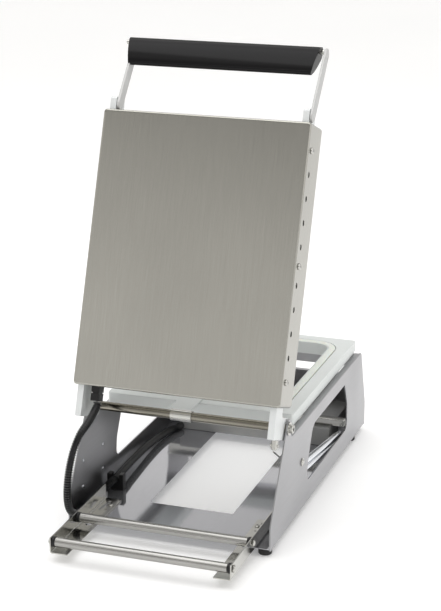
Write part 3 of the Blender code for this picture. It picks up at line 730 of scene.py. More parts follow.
def side_plate(side, where):
    """Bent sheet: upright plate with a hinge ear, a ledge under the mould and a foot flange."""
    plate = prism("X", rounded([
        (FRAME_FRONT, FRAME_BOTTOM, 0.0015), (FRAME_BACK, FRAME_BOTTOM, 0.0015),
        (FRAME_BACK, -0.0955, 0.004), (0.0017, 0.0105, 0.0075), (-0.0110, 0.0105, 0.0078),
        (-0.0110, LEDGE_TOP, 0.004), (-0.3335, LEDGE_TOP, 0.007), (FRAME_FRONT, -0.0937, 0.004),
    ]), *outward(side, INNER, HALF_WIDTH))
    centre = side * (INNER + HALF_WIDTH) / 2
    ledge = box((side * LEDGE_EDGE, centre), LEDGE_RUN, (LEDGE_TOP - SHEET, LEDGE_TOP))
    flange = box((side * FLANGE_EDGE, centre), FLANGE_RUN, (FRAME_BOTTOM, FRAME_BOTTOM + SHEET))
    window = rounded([
        (-0.2506, -0.0325, 0.003), (-0.1035, -0.0325, 0.020), (-0.0820, -0.0730, 0.030),
        (-0.0790, -0.0979, 0.009), (-0.2660, -0.0979, 0.011), (-0.2650, -0.0640, 0.030),
    ], 10)
    reach = outward(side, 0.120, 0.130)
    bolt = ring_of(BOLT_BORE, 32)
    if side < 0:
        fixings = [ring_of(0.0028, 32, GUIDE)]
    else:
        fixings = [ring_of(0.0018, 24, at) for at in RIVETS]
    holes = [prism("X", window, *reach), prism("X", bolt, *reach), prisms("X", fixings, *reach)]
    for height, upward, run in ((LEDGE_TOP, 1, LEDGE_RUN), (FRAME_BOTTOM, -1, FLANGE_RUN)):
        holes.append(prism("Y", bend_relief(side, height, upward), *run))
    show(f"side_plate_{where}", cut(fused(plate, ledge, flange), *holes), "satin_steel",
         edge=0.0003)


def bend_relief(side, height, upward):
    """Outline in x and z of what a bend of the sheet leaves outside its round corner."""
    radius = SHEET * 0.95
    proud = 0.001
    centre = (side * (HALF_WIDTH - radius), height - upward * radius)
    start, end = (0, 90 * upward) if side > 0 else (180, 180 - 90 * upward)
    outline = arc(centre, radius, start, end, 8)
    return outline + sharp([
        (centre[0], height + upward * proud),
        (side * (HALF_WIDTH + proud), height + upward * proud),
        (side * (HALF_WIDTH + proud), centre[1]),
    ])


def base_plate():
    opening = mesh_of([[frame_loop(0.053, -0.257, -0.013, 0.002, z) for z in (-0.13, -0.12)]])
    show("base_plate", cut(block(BASE_LOW, BASE_HIGH), opening), "mirror_steel", edge=0.00015)


def feet():
    """Turned rubber feet, each with a hollow and a groove in its sole."""
    for corner in ("front_left", "front_right", "rear_left", "rear_right"):
        node = f"foot_{corner}"
        low, high = span(node)
        radius = (high.x - low.x) / 2
        height = high.z - low.z
        profile = [(0, radius * 0.35), (0.0008, radius * 0.5), (0, radius * 0.6), (0, radius * 0.9),
                   (0.0008, radius), (height * 0.55, radius), (height * 0.6, radius * 0.94),
                   (height, radius * 0.90)]
        foot = lathe(profile, (middle(node).x, middle(node).y, low.z))
        show(node, foot, "black_rubber", edge=0.0002)


def cross_members():
    """Angled rail across the frame, and the stepped bar that the mould rests on."""
    low, high = span("cross_rail")
    hollow = box((low.x - 0.01, high.x + 0.01), (low.y + SHEET, high.y + 0.01),
                 (low.z - 0.01, high.z - SHEET))
    show("cross_rail", cut(block(low, high), hollow), "bright_steel", edge=0.0006, segments=3)
    low, high = span("mould_rest")
    shoulder = LEDGE_TOP - SHEET - GAP
    narrow = LEDGE_EDGE - GAP
    outline = sharp([
        (low.x, low.z), (high.x, low.z), (high.x, shoulder), (narrow, shoulder),
        (narrow, high.z), (-narrow, high.z), (-narrow, shoulder), (low.x, shoulder),
    ])
    show("mould_rest", prism("Y", outline, low.y, high.y), "satin_steel", edge=0.0006)


def control_housing():
    """Grey box behind the front panel, with three screws in its top."""
    low, high = span("control_box")
    wall = PANEL_SHEET
    shell = prism("X", rounded([
        (low.y, low.z, 0), (high.y, low.z, 0), (high.y, high.z, 0.0018), (low.y, high.z, 0),
    ]), low.x, high.x)
    inside = box((low.x + wall, high.x - wall), (low.y - 0.01, high.y - wall),
                 (low.z - 0.01, high.z - wall))
    show("control_box", cut(shell, inside), "grey_paint", edge=0.0005)
    screws = [pan_head(0.0028, 0.0016, (x, high.y - 0.024, high.z), (0, 0, 1))
              for x in (-0.088, 0.0, 0.088)]
    show("control_box_screws", joined(*screws), "bright_steel", body="machine", edge=0.0)


def front_panel():
    """Bent panel with a sloping top edge and holes for the controls."""
    face = PANEL_LOW.y
    back = face + PANEL_SHEET
    lip = -0.0495
    panel = prism("X", rounded([
        (face, FRAME_BOTTOM, 0), (face, -0.0940, 0.003), (-0.3440, lip, 0.003), (-0.3360, lip, 0),
        (-0.3360, lip - PANEL_SHEET, 0), (-0.3431, lip - PANEL_SHEET, 0.0018),
        (back, -0.0942, 0.0018), (back, FRAME_BOTTOM, 0),
    ]), PANEL_LOW.x, PANEL_HIGH.x)
    through = (face - 0.002, back + 0.002)
    holes = [control_block(middle("power_switch_body").x, 0.0138, through, 0.0098)]
    for node, radius in (("thermostat_knob", AXLE_BORE), ("indicator_lamp", 0.0041),
                         ("mains_gland", 0.0061)):
        holes.append(prism("Y", ring_of(radius, 32, (middle(node).x, CONTROL_Z)), *through))
    show("front_panel", cut(panel, *holes), "satin_steel", edge=0.00025)


# ---------------------------------------------------------------- controls

def thermostat():
    """Fluted knob with a pointer line, dial marks on the panel and the regulator behind it."""
    low, high = span("thermostat_knob")
    face = PANEL_LOW.y - GAP
    at = (middle("thermostat_knob").x, CONTROL_Z)
    origin = (at[0], 0, CONTROL_Z)
    start, skirt = -low.y, -face
    knob = lathe([
        (-high.y, AXLE), (skirt, AXLE), (skirt, 0.0135), (skirt + 0.0030, 0.0134),
        (skirt + 0.0042, 0.0118), (start - 0.0022, 0.0109), (start - 0.0008, 0.0101),
        (start, 0.0088), (start, 0.0060), (start - 0.0006, 0.0050),
    ], origin, FRONT, sides=72)
    flutes = [ring_of(0.0014, 14, centre) for centre in ring_of(0.0128, 18, at)]
    tool = prisms("Y", flutes, low.y - 0.002, face - 0.0044)
    show("thermostat_knob", cut(knob, tool), "black_plastic", edge=0.00025)
    pointer = box((at[0] - 0.0005, at[0] + 0.0005), (low.y + 0.0002, low.y + 0.0012),
                  (CONTROL_Z + 0.0052, CONTROL_Z + 0.0092))
    show("knob_pointer", pointer, "aluminium", body="knob", edge=0.0001)
    marks = []
    for k in range(11):
        spoke = polar(math.radians(-45 + 27 * k))
        across = Vector((-spoke.y, spoke.x)) * 0.00035
        inner = Vector(at) + spoke * 0.0155
        outer = inner + spoke * (0.0036 if k % 5 == 0 else 0.0024)
        marks.append([inner - across, outer - across, outer + across, inner + across])
    show("dial_marks", prisms("Y", marks, PANEL_LOW.y - 0.0001, PANEL_LOW.y + 0.0002),
         "black_plastic", body="machine", edge=0.0)
    low, high = span("thermostat_body")
    parts = [lathe([
        (low.y + 0.0072, AXLE_BORE), (low.y, AXLE_BORE), (low.y, 0.006), (low.y + 0.004, 0.006),
        (low.y + 0.0045, 0.0105), (low.y + 0.005, 0.011), (high.y - 0.003, 0.011),
        (high.y - 0.002, 0.0098), (high.y, 0.0098),
    ], origin, (0, 1, 0))]
    for x in (at[0] - 0.005, at[0] + 0.005):
        parts.append(control_block(x, 0.0004, (high.y - 0.001, high.y + 0.006), 0.0032))
    show("thermostat_body", joined(*parts), "grey_paint", edge=0.0002)


def power_switch():
    """Snap-in housing with a raised bezel, and a rocker with a dished face."""
    low, high = span("power_switch_body")
    x = middle("power_switch_body").x
    face = PANEL_LOW.y - GAP
    rim = 0.002
    bezel = box((low.x, high.x), (low.y, face), (low.z, high.z))
    housing = box((low.x + rim, high.x - rim), (face - 0.001, high.y), (low.z + rim, high.z - rim))
    recess = control_block(x, 0.0118, (face - 0.004, -0.3500), 0.0084)
    show("power_switch_body", cut(fused(bezel, housing), recess), "black_plastic", edge=0.0005,
         segments=3)
    front, half, root = -0.0058, 0.0070, 0.0066
    dished = []
    for step in range(-4, 5):
        share = step / 5
        dish = 0.0022 * math.cos(share * math.pi / 2) - 0.0004 * math.sin(share * math.pi)
        dished.append((front + dish, share * half))
    outline = sharp([(0.0025, -root), (front, -half), *dished, (front, half), (0.0025, root)])
    rocker = prism("X", outline, -0.0114, 0.0114)
    hinge_at = Vector(JOINTS["switch_rock"]["pos_m"]) - HINGE
    rocker.transform(Matrix.Translation(hinge_at) @ Matrix.Rotation(math.radians(8), 4, "X"))
    show("power_switch_rocker", rocker, "black_plastic", edge=0.0004)


def panel_fittings():
    """Pilot lamp with a black collar, and the cable gland with a ribbed cap and a nut."""
    face = GAP - PANEL_LOW.y
    at = (middle("indicator_lamp").x, 0, CONTROL_Z)
    seat = face + 0.0019
    rise = -span("indicator_lamp")[0].y - seat
    lens = [(0.346, 0.0036), (seat, 0.0036), (seat, 0.0044)]
    lens += [(seat + rise * s, 0.0043 * c + 0.0001) for c, s in QUARTER]
    show("indicator_lamp", lathe(lens, at, FRONT), "amber_lens", edge=0.0001)
    collar = [(face, 0.0046), (face, 0.0055), (face + 0.0012, 0.0055), (face + 0.0018, 0.0049),
              (face + 0.0018, 0.0046)]
    show("lamp_collar", lathe(collar, at, FRONT, ring=True), "black_plastic", body="machine",
         edge=0.0001)
    x = middle("mains_gland").x
    top = -span("mains_gland")[0].y
    body = lathe([
        (top - 0.0110, 0.0035), (top, 0.0035), (top, 0.0048), (face + 0.0100, 0.0060),
        (face + 0.0070, 0.0066), (face + 0.0045, 0.0068), (face + 0.0030, 0.0068),
        (face, 0.0068), (face, 0.0057), (0.349, 0.0057),
    ], (x, 0, CONTROL_Z), FRONT)
    nut = prism("Y", ring_of(0.0085, 6, (x, CONTROL_Z)), -face - 0.0042, -face)
    ribs = [ring_of(0.0007, 10, centre) for centre in ring_of(0.0064, 12, (x, CONTROL_Z))]
    ribbing = prisms("Y", ribs, -face - 0.0098, -face - 0.0046)
    show("mains_gland", joined(body, nut, ribbing), "black_plastic", edge=0.0002)


# ---------------------------------------------------------------- hinge and film cradle

def hinge():
    """Shaft with chamfered ends, and a washer with a socket screw outside each plate."""
    end = SHAFT_HIGH.x
    depth = end - 0.012
    tube = chamfered(-end, end, SHAFT_RADIUS, 0.0005, BOLT_BORE)
    shaft = lathe([(-depth, BOLT_BORE), *tube, (depth, BOLT_BORE)], (0, 0, 0), (1, 0, 0), sides=64)
    show("hinge_shaft", shaft, "shaft_steel_painted_reflection", edge=0.0)
    thick = 0.0012
    for side, where in HANDS:
        node = f"shaft_bolt_{where}"
        start = HALF_WIDTH + GAP
        reach = max(side * corner.x for corner in span(node)) - start
        at, towards = (side * start, 0, 0), (side, 0, 0)
        washer = lathe([(0, 0.0034), (0, 0.0080), (thick, 0.0080), (thick, 0.0034)], at, towards,
                       ring=True)
        head = socket_head(0.0052, reach - thick, (side * (start + thick), 0, 0), towards)
        stem = lathe([(-0.012, 0.003), (thick, 0.003)], at, towards)
        show(node, joined(washer, head, stem), "bright_steel", edge=0.0002)


def cradle_bracket(side, where):
    """Angle that carries the film rollers: a leg upright, a flange on the base plate."""
    node = f"cradle_bracket_{where}"
    low, high = span(node)
    edge, leg = sorted((low.x, high.x), key=abs)
    inside = leg - side * SHEET
    angle = prism("Y", rounded([
        (edge, low.z, 0), (leg, low.z, 0.003), (leg, high.z, 0), (inside, high.z, 0),
        (inside, low.z + SHEET, 0.0015), (edge, low.z + SHEET, 0),
    ]), low.y, high.y)
    axles = []
    for end in ("front", "rear"):
        at = middle(f"roller_axle_{end}")
        axles.append(ring_of(AXLE_BORE, 32, (at.y, at.z)))
    keyhole = tapered_slot((side * 0.0976, 0.0060), 0.0030, (side * 0.1010, 0.0290), 0.0018, 12)
    floor_holes = [keyhole, ring_of(0.004, 40, (side * 0.0974, 0.0724)),
                   ring_of(0.0015, 24, (side * 0.0942, 0.0276))]
    mesh = cut(angle, prisms("X", axles, *outward(side, 0.104, 0.111)),
               prisms("Z", floor_holes, low.z - 0.002, low.z + 0.004))
    show(node, mesh, "bright_steel", edge=0.0003)
    screws = [pan_head(0.0030, 0.0018, (side * 0.0925, y, low.z + SHEET), (0, 0, 1))
              for y in (0.0150, 0.1350)]
    show(f"bracket_screws_{where}", joined(*screws), "bright_steel", body="machine", edge=0.0)


def film_roller(end):
    """Ground roller, its plastic caps and the axle with its dome nuts."""
    node = f"film_roller_{end}"
    centre = middle(node)
    at = (0, centre.y, centre.z)
    tubes = [(node, "ground_steel", 0.0006, 64)]
    tubes += [(f"roller_cap_{end}_{where}", "black_plastic", 0.0005, SIDES) for _, where in HANDS]
    for name, look_name, chamfer, sides in tubes:
        low, high = span(name)
        profile = chamfered(low.x, high.x, (high.z - low.z) / 2, chamfer, AXLE_BORE)
        tube = lathe(profile, at, (1, 0, 0), ring=True, sides=sides)
        show(name, tube, look_name, edge=0.0)
    axle = f"roller_axle_{end}"
    tip = span(axle)[1].x
    nut = span("cradle_bracket_right")[1].x + GAP
    parts = [lathe([(-nut, AXLE), (nut, AXLE)], at, (1, 0, 0))]
    for side, _ in HANDS:
        parts.append(dome_nut(0.0045, tip - nut, (side * nut, at[1], at[2]), (side, 0, 0)))
    show(axle, joined(*parts), "bright_steel", edge=0.0002)


# ---------------------------------------------------------------- conduit and counterbalance

CLIP_LOW, CLIP_HIGH = span("conduit_clip")
CONDUIT_X = (CLIP_LOW.x + CLIP_HIGH.x) / 2
LOW = BASE_TOP + GAP + CONDUIT_RADIUS
HELD = LOW + 0.0095                    # the clip carries the conduit off the base plate
BOX_REAR = span("control_box")[1].y
LOOP_ROUTE = [
    (0.1000, 0.0312, 0.0164), (0.1001, 0.0334, 0.0112), (0.1030, 0.0510, -0.0010),
    (0.1085, 0.0680, -0.0140), (0.1130, 0.0785, -0.0340), (0.1160, 0.0850, -0.0600),
    (0.1170, 0.0862, -0.0850), (0.1170, 0.0795, -0.1030), (0.1165, 0.0640, -0.1145),
    (0.1158, 0.0450, LOW + 0.0002), (0.1150, 0.0270, LOW), (0.1147, 0.0110, LOW + 0.0003),
    (0.1143, -0.0020, LOW + 0.0014), (0.1123, -0.0140, LOW + 0.0044),
    (0.1090, -0.0250, LOW + 0.0080), (CONDUIT_X, CLIP_HIGH.y + 6 * GAP, HELD),
]
RUN_ROUTE = [
    (CONDUIT_X, CLIP_HIGH.y + 5 * GAP, HELD), (CONDUIT_X, CLIP_LOW.y - 4 * GAP, HELD),
    (0.1088, -0.0715, LOW + 0.0092), (0.1102, -0.0913, LOW + 0.0083),
    (0.1119, -0.1300, LOW + 0.0066), (0.1128, -0.1674, LOW + 0.0046),
    (0.1117, -0.2009, LOW + 0.0025), (0.1080, -0.2290, LOW + 0.0008),
    (0.1030, -0.2430, LOW), (0.1012, BOX_REAR + 5 * GAP, LOW),
]
RIB_PITCH = 0.0030
RIB_DEPTH = 0.0014


def corrugated(route):
    """Mesh of ribbed conduit: four loops to a rib, two on its crest and two in its groove."""
    def radius(k):
        return CONDUIT_RADIUS if k % 4 < 2 else CONDUIT_RADIUS - RIB_DEPTH

    return mesh_of([pipe(smooth_route(route, RIB_PITCH / 4), radius, 20)])


def conduit():
    """Ribbed conduit from the lid's gland through its clip to the control box."""
    made = show("conduit_loop", corrugated(LOOP_ROUTE), "conduit_black", edge=0.0, rides=False)
    FRAME_SPACE @ Vector(LOOP_ROUTE[6])
    FRAME_SPACE @ Vector(LOOP_ROUTE[0])
    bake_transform(made)
    show("conduit_run", corrugated(RUN_ROUTE), "conduit_black", edge=0.0)
    inside = CONDUIT_RADIUS + 0.0001
    above = CLIP_HIGH.z + 0.01
    trough = arc((CONDUIT_X, HELD), inside, 180, 360, 16)
    trough += sharp([(CONDUIT_X + inside, above), (CONDUIT_X - inside, above)])
    channel = prism("Y", trough, CLIP_LOW.y - 0.01, CLIP_HIGH.y + 0.01)
    show("conduit_clip", cut(block(CLIP_LOW, CLIP_HIGH), channel), "black_plastic", edge=0.0008,
         segments=3)


def coil(length, radius, wire, turns):
    """Points of the wire of a close-wound spring along Y, with a hook at each end."""
    per_turn = 12
    reach = radius - wire
    body = length - 4 * radius
    hook = arc((length / 2 - radius, 0), reach, 150, -100, 9)
    first, last = [[Vector((0, side * along, up)) for along, up in hook] for side in (-1, 1)]
    wound = []
    for k in range(turns * per_turn + 1):
        point = polar(2 * math.pi * k / per_turn, reach)
        wound.append(Vector((point.y, -body / 2 + body * k / (turns * per_turn), point.x)))
    return [*first[::-1], *wound, *last]


def counterbalance():
    """Two coil springs on an anchor, the cable guide on the left plate and the pull cable."""
    slope = math.atan(0.148)
    radius, wire = 0.00425, 0.00055
    for where in ("upper", "lower"):
        node = f"counter_spring_{where}"
        low, high = span(node)
        length = (high.y - low.y) / math.cos(slope) - 2 * radius * math.tan(slope)
        turns = round((length - 4 * radius) / (2.06 * wire))
        spring = mesh_of([pipe(coil(length, radius, wire, turns), lambda k: wire, 6)])
        spring.transform(Matrix.Translation((low + high) / 2) @ Matrix.Rotation(slope, 4, "X"))
        show(node, spring, "spring_steel", edge=0.0)
    low, high = span("spring_anchor")
    anchor = prism("Z", sharp([
        (low.x, low.y), (low.x + SHEET, low.y), (low.x + SHEET, high.y - SHEET),
        (high.x, high.y - SHEET), (high.x, high.y), (low.x, high.y),
    ]), low.z, high.z)
    show("spring_anchor", anchor, "satin_steel", edge=0.0003)
    start = -HALF_WIDTH - GAP
    rim = 0.009
    guide = lathe([
        (start - 0.0024, 0.0010), (start - 0.0021, 0.0024), (start - 0.0014, 0.0036),
        (start - 0.0006, 0.0040), (start - 0.0006, 0.0050), (start, 0.0050), (start, 0.0025),
        (-0.1210, 0.0025), (-0.1210, rim - 0.0003), (-0.1207, rim), (-0.1181, rim),
        (-0.1170, GUIDE_GROOVE), (-0.1130, GUIDE_GROOVE), (-0.1119, rim), (-0.1103, rim),
        (-0.1100, rim - 0.0003), (-0.1100, 0.0045), (-0.1106, 0.0040),
    ], (0, *GUIDE), (1, 0, 0))
    show("cable_guide", guide, "bright_steel", edge=0.0001)
    lay = GUIDE_GROOVE + 0.0018
    wrap = [(-0.115, *polar(math.radians(turn), lay, GUIDE)) for turn in (-108, -92, -76, -60)]
    route = [(-0.115, -0.0800, -0.0820), *wrap, (-0.1160, -0.0180, -0.0497),
             (-0.1175, 0.0354, -0.0160)]
    cable = mesh_of([pipe(smooth_route(route, 0.0012), lambda k: 0.001, 12)])
    made = show("pull_cable", cable, "bright_steel", edge=0.0, rides=False)
    FRAME_SPACE @ Vector(route[-2])
    FRAME_SPACE @ Vector(route[-1])
    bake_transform(made)


def rating_plate():
    """Blank plate on the right side plate, with a pop rivet at each corner."""
    low, high = span("rating_plate")
    face = high.x - 0.0004
    outline = rounded([(*corner, 0.002) for corner in rectangle(low.y, high.y, low.z, high.z)])
    plate = prism("X", outline, HALF_WIDTH + GAP, face)
    show("rating_plate", plate, "label_aluminium", edge=0.0001)
    dome = [(0, 0.0026), (0.0003, 0.0025), (0.00038, 0.0012), (0.0002, 0.0009)]
    stem = [(0, 0.0024), (0.0006, 0.0024), (0.0011, 0.0016), (0.0011, 0.0007)]
    ends = []
    for at in RIVETS:
        ends.append(lathe(dome, (face, *at), (1, 0, 0), sides=24))
        ends.append(lathe(stem, (INNER, *at), (-1, 0, 0), sides=24))
    show("plate_rivets", joined(*ends), "spring_steel", body="machine", edge=0.0)


# ---------------------------------------------------------------- mould

def tray_mould():
    """Plate with a crisp edge, the tray's opening and the seal in a groove wider than it is."""
    def level(inset, corner, z):
        return frame_loop(MOULD_HIGH.x - inset, MOULD_LOW.y + inset, MOULD_HIGH.y - inset, corner,
                          z)

    def around(grow, z):
        return frame_loop(0.091 + grow, -0.304 - grow, -0.067 + grow, 0.020 + grow, z)

    top = 0.0015
    groove = top - 0.0027
    step_z = -0.0115                      # the plate steps in below this height
    wall = 0.001
    outer = wall + 0.010 + 2 * GAP
    fillet = 0.0008
    bend = [level(fillet * (1 - c), 0.004, top - fillet * (1 - s)) for c, s in QUARTER]
    plate = mesh_of([[
        level(0.0012, 0.003, MOULD_LOW.z), level(0.0012, 0.003, step_z), level(0, 0.004, step_z),
        *bend, around(outer, top), around(outer, groove), around(wall, groove),
        around(wall, top), around(0, top), around(0, MOULD_LOW.z),
    ]], ring=True)
    show("tray_mould", plate, "anodised", edge=0.0003)
    inner = wall + GAP
    width = 0.0088
    crown = []
    for k in range(9):
        rise = 0.0007 * math.sin(math.pi * k / 8) ** 0.5
        crown.append(around(inner + width * (1 - k / 8), top + rise))
    seal = mesh_of([[around(inner + width, groove + GAP), *crown, around(inner, groove + GAP)]],
                   ring=True)
    show("mould_gasket", seal, "silicone", edge=0.0001)


def mould_strap():
    """Strip on the mould's rear edge, curled into a sleeve round the hinge shaft."""
    low, high = span("mould_strap")
    outline = arc((0, 0), high.z, -155, 169, 54)
    outline += arc((0, 0), SHAFT_RADIUS + GAP, 169, -155, 54)
    tab = box((-0.0005, 0.027), (low.y, -0.0062), (0.0018, 0.0030))
    sleeve = cut(prism("X", outline, low.x, 0.019), tab)
    show("mould_strap", sleeve, "bright_steel", edge=0.0003)
    show("mould_strap_tab", tab, "anodised", body="mould", edge=0.0003)


# ---------------------------------------------------------------- lid

def screw_holes():
    return [ring_of(0.0023, 24, (screw.y, screw.z)) for screw in COVER_SCREWS]


def lid_cover():
    """Folded steel tray over the heater: round bends, vents, screws and slots for the arms."""
    front, back = -COVER_LOW.y, -COVER_HIGH.y
    half, rim, top = COVER_HIGH.x, COVER_LOW.z, COVER_HIGH.z
    bend = 0.0024
    margin = bend + 0.0008                # keeps the broad faces flat beside the bends

    def level(inset, w):
        return lid_loop(half - inset, front - inset, back + inset, 0.004 - inset / 2, w, 6)

    inner_bend, outer_bend = [
        [level(wall + bend * (1 - c), top - wall - bend * (1 - s)) for c, s in QUARTER]
        for wall in (COVER_SHEET, 0)
    ]
    shell = mesh_of([[
        level(COVER_SHEET + margin, top - COVER_SHEET), *inner_bend[::-1],
        level(COVER_SHEET, rim), level(0, rim), *outer_bend, level(margin, top),
    ]])
    slots = [box((side * (ARM_LOW.x - 0.0006), side * (ARM_HIGH.x + 0.0006)), (-0.36, 0),
                 (0, ARM_HIGH.z + 0.0008)) for side, _ in HANDS]
    holes = screw_holes()
    for k in range(4):
        for way in (-1, 1):
            vent = (COVER_SCREWS[1].y + way * (0.0219 + 0.0276 * k), 0.040)
            holes.append(ring_of(0.0034, 32, vent))
    show("lid_cover", cut(shell, *slots, prisms("X", holes, -0.13, 0.13)), "lid_steel",
         edge=0.00025)


def lid_arm(side, where):
    """Cast bar under the cover; its foot turns on the hinge shaft."""
    outline = rounded([
        (ARM_LOW.y, ARM_HIGH.z, 0.003), (ARM_LOW.y, 0.0215, 0.003), (-0.012, 0.0215, 0.005),
        (-0.012, ARM_LOW.z, 0.011), (ARM_HIGH.y, ARM_LOW.z, 0.011),
        (ARM_HIGH.y, ARM_HIGH.z, 0.002),
    ])
    arm = prism("X", outline, *outward(side, ARM_LOW.x, ARM_HIGH.x))
    bores = prisms("X", [ring_of(SHAFT_RADIUS + GAP, SIDES), *screw_holes()],
                   *outward(side, ARM_LOW.x - 0.002, ARM_HIGH.x + 0.002))
    show(f"lid_arm_{where}", cut(arm, bores), "aluminium", edge=0.0008, segments=3)


def cover_screws():
    start = COVER_HIGH.x + GAP
    for side, where in HANDS:
        for row, screw in zip(("rear", "middle", "front"), COVER_SCREWS):
            node = f"cover_screw_{row}_{where}"
            height = max(side * corner.x for corner in span(node)) - start
            at = (side * start, screw.y, screw.z)
            mesh = pan_head(0.0038, height, at, (side, 0, 0), stem=(0.002, 0.0095))
            show(node, mesh, "bright_steel", edge=0.0001)


def even_loop(loop, spacing):
    """Points evenly spaced round a closed loop."""
    points = []
    for a, b in zip(loop, loop[1:] + loop[:1]):
        count = max(1, round((b - a).length / spacing))
        points += [a.lerp(b, k / count) for k in range(count)]
    return points


def heater():
    """Coated heating plate and the insulation behind it."""
    low, high = span("heating_plate")
    rows = [lid_loop(high.x - inset, -low.y - inset, -high.y + inset, 0.006, w)
            for inset, w in ((0.0006, low.z), (0, low.z + 0.0006), (0, high.z))]
    show("heating_plate", mesh_of([rows]), "heater_coat", edge=0.0002)
    low, high = span("heater_insulation")
    rows = [lid_loop(high.x, -low.y, -high.y, 0.003, w) for w in (low.z, high.z)]
    show("heater_insulation", mesh_of([rows]), "insulation", edge=0.0012, segments=3)


def film_knife():
    """Band of steel round the heating plate, with teeth that trim the film."""
    low, high = span("film_knife")
    tooth = 0.0011
    band = even_loop(lid_loop(high.x, -low.y, -high.y, 0.008, 0.0), 0.0016)
    band = band[:len(band) // 2 * 2]
    centre = (low.y + high.y) / 2
    rows = []
    for inset in (0, 0.001):
        wide = 1 - inset / high.x
        deep = 1 - 2 * inset / (high.y - low.y)
        top = []
        teeth = []
        for k, point in enumerate(band):
            x, y = point.x * wide, centre + (point.y - centre) * deep
            top.append(Vector((x, y, high.z)))
            teeth.append(Vector((x, y, low.z + (0 if k % 2 else tooth))))
        rows += [teeth, top] if inset else [top, teeth]
    show("film_knife", mesh_of([rows], ring=True), "bright_steel", edge=0.0)


def lid_gland():
    """Snap connector that the conduit enters the lid by: two halves, a neck and a latch."""
    low, high = span("lid_gland")
    low.x, high.x = high.x - 0.0112, high.x - 0.0010
    seam = (low.y + high.y) / 2 - 0.001
    rear = box((low.x, high.x), (seam + 0.0004, high.y), (low.z, high.z))
    neck = box((low.x + 0.0012, high.x - 0.0012), (low.y, seam + 0.002),
               (low.z + 0.0010, high.z - 0.0010))
    front = box((low.x, high.x), (low.y, seam - 0.0004), (low.z, high.z))
    latch = box((low.x + 0.005, high.x - 0.005), (seam - 0.005, high.y - 0.003),
                (high.z - 0.0008, high.z))
    show("lid_gland", joined(fused(rear, neck), front, latch), "black_plastic", edge=0.0005,
         segments=3)


def cable_stud():
    """Hexagon stud in the left arm, with a cross pin that the pull cable hooks on."""
    low, high = span("cable_stud")
    x, z = middle("cable_stud").x, middle("cable_stud").z
    end = [(low.y, 0.0030), (high.y - 0.0006, 0.0030), (high.y, 0.0024)]
    stud = fused(prism("Y", ring_of(0.0042, 6, (x, z)), low.y, low.y + 0.0100),
                 lathe(end, (x, 0, z), (0, 1, 0), sides=32))
    pin = lathe(chamfered(low.x, high.x, 0.0018, 0.0003), (0, 0.0202, z), (1, 0, 0), sides=24)
    show("cable_stud", joined(stud, pin), "bright_steel", edge=0.0002)


def handle():
    """Two arms, the rod through their tops and the grip that wraps the inboard arm."""
    top = (-0.433, 0.0115)
    foot = (-0.356, 0.041)
    width = 0.007
    rod = (middle("grip_rod").y, middle("grip_rod").z)
    bore = ring_of(AXLE_BORE, 32, rod)
    low, high = span("handle_arm_right")
    slot = (low.x - GAP, high.x + GAP)
    pin_hole = ring_of(0.0013, 24, (-0.428, 0.0115))
    outer = span("handle_arm_left")[0].x
    for where, hole in (("left", prism("X", pin_hole, outer - 0.001, outer + 0.0016)),
                        ("right", prism("X", bore, *slot))):
        low, high = span(f"handle_arm_{where}")
        arm = prism("X", tapered_slot(foot, width, top, width), low.x, high.x)
        show(f"handle_arm_{where}", cut(arm, hole), "bare_aluminium", edge=0.0007, segments=3)
    low, high = span("grip_rod")
    turned = lathe(chamfered(low.x, high.x, AXLE, 0.0005), (0, *rod), (1, 0, 0), sides=40)
    show("grip_rod", turned, "bright_steel", edge=0.0)
    grip(bore, tapered_slot(foot, width + GAP, top, width + GAP), slot)


def grip(bore, arm_room, slot):
    """Grip with its bore, an open slot for the inboard arm and mitred ends."""
    low, high = span("handle_grip")
    section = tapered_slot((-0.4315, 0.0130), 0.0095, (-0.4090, 0.0262), 0.0035, 28)
    cutters = [
        prism("X", bore, low.x - 0.001, high.x + 0.001),
        prism("X", arm_room, *slot),
        box(slot, (-0.4403, -0.3900), (-0.01, 0.0115)),
    ]
    for side, _ in HANDS:
        wedge = sharp([(side * 0.1120, -0.4040), (side * high.x, -0.4420),
                       (side * 0.13, -0.4420), (side * 0.13, -0.4040)])
        cutters.append(prism("Z", wedge, -0.01, 0.05))
    solid = prism("X", bulged(section, 0.0016), low.x, high.x)
    show("handle_grip", cut(solid, *cutters), "grip_plastic", edge=0.0009, segments=3)


# ---------------------------------------------------------------- stage, lights and camera

def floor():
    """Nearly white floor that glows a little, as a lit studio table does."""
    bm = bmesh.new()
    bmesh.ops.create_grid(bm, x_segments=1, y_segments=1, size=12.0)
    mesh = finished(bm, "floor")
    made, tree, shader = principled("floor", (0.93, 0.93, 0.93), 0.0, 0.6)
    dress(tree, shader, specks(tree, 0.6, 1.0), (0.925, 0.925, 0.925), (0.94, 0.94, 0.94))
    shader.inputs["Emission Color"].default_value = (1, 1, 1, 1)
    shader.inputs["Emission Strength"].default_value = 0.17
    mesh.materials.append(made)
    placed("floor", mesh)


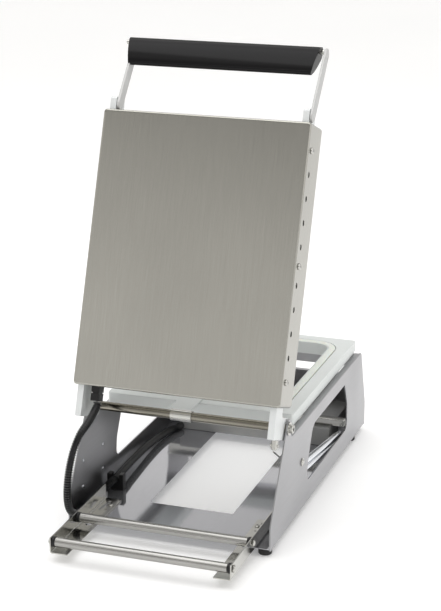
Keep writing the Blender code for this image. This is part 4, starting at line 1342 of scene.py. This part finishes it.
def area_light(name, at, size, power):
    """White light with a width and a height, aimed at the machine."""
    data = bpy.data.lights.new(name, "AREA")
    data.shape = "RECTANGLE"
    data.size, data.size_y = size
    data.energy = power
    light = placed(name, data)
    light.location = at
    aim = Vector((0, 0, 0.2)) - Vector(at)
    light.rotation_euler = aim.to_track_quat("-Z", "Y").to_euler()


def lights():
    """Bright room with a dark band above eye level, and two large soft lights."""
    world = bpy.data.worlds.new("studio")
    bpy.context.scene.world = world
    world.use_nodes = True
    tree = world.node_tree
    where = tree.nodes.new("ShaderNodeTexCoord")
    split = tree.nodes.new("ShaderNodeSeparateXYZ")
    ramp = tree.nodes.new("ShaderNodeValToRGB")
    tree.links.new(where.outputs["Generated"], split.inputs["Vector"])
    tree.links.new(split.outputs["Z"], ramp.inputs["Fac"])
    tree.links.new(ramp.outputs["Color"], tree.nodes["Background"].inputs["Color"])
    steps = ramp.color_ramp.elements
    steps[0].position, steps[0].color = 0.0, (0.90, 0.90, 0.90, 1)
    steps[1].position, steps[1].color = 1.0, (1.0, 1.0, 1.0, 1)
    for position, grey in ((0.38, 0.98), (0.47, 0.36), (0.57, 0.28), (0.68, 1.0)):
        step = steps.new(position)
        step.color = (grey, grey * 0.985, grey * 0.96, 1)
    area_light("overhead", (0.2, 0.1, 2.4), (2.4, 2.0), 20)
    area_light("left", (-2.2, 0.3, 1.5), (1.4, 1.6), 5.5)


def camera():
    data = bpy.data.cameras.new("camera")
    data.lens = 140.89
    data.sensor_width = 36
    data.sensor_fit = "HORIZONTAL"
    eye = placed("camera", data)
    eye.location = (-0.65407, 1.88699, 0.86175)
    eye.rotation_euler = (math.radians(90 - 17.364), 0, math.radians(198.997))
    bpy.context.scene.camera = eye
    bpy.context.scene.view_settings.view_transform = "Standard"


def build():
    camera()
    lights()
    floor()
    for side, where in HANDS:
        side_plate(side, where)
        cradle_bracket(side, where)
        lid_arm(side, where)
    for end in ("front", "rear"):
        film_roller(end)
    for part in (base_plate, feet, cross_members, control_housing, front_panel, thermostat,
                 power_switch, panel_fittings, hinge, conduit, counterbalance, rating_plate,
                 tray_mould, mould_strap, lid_cover, cover_screws, heater, film_knife, lid_gland,
                 cable_stud, handle):
        part()


build()
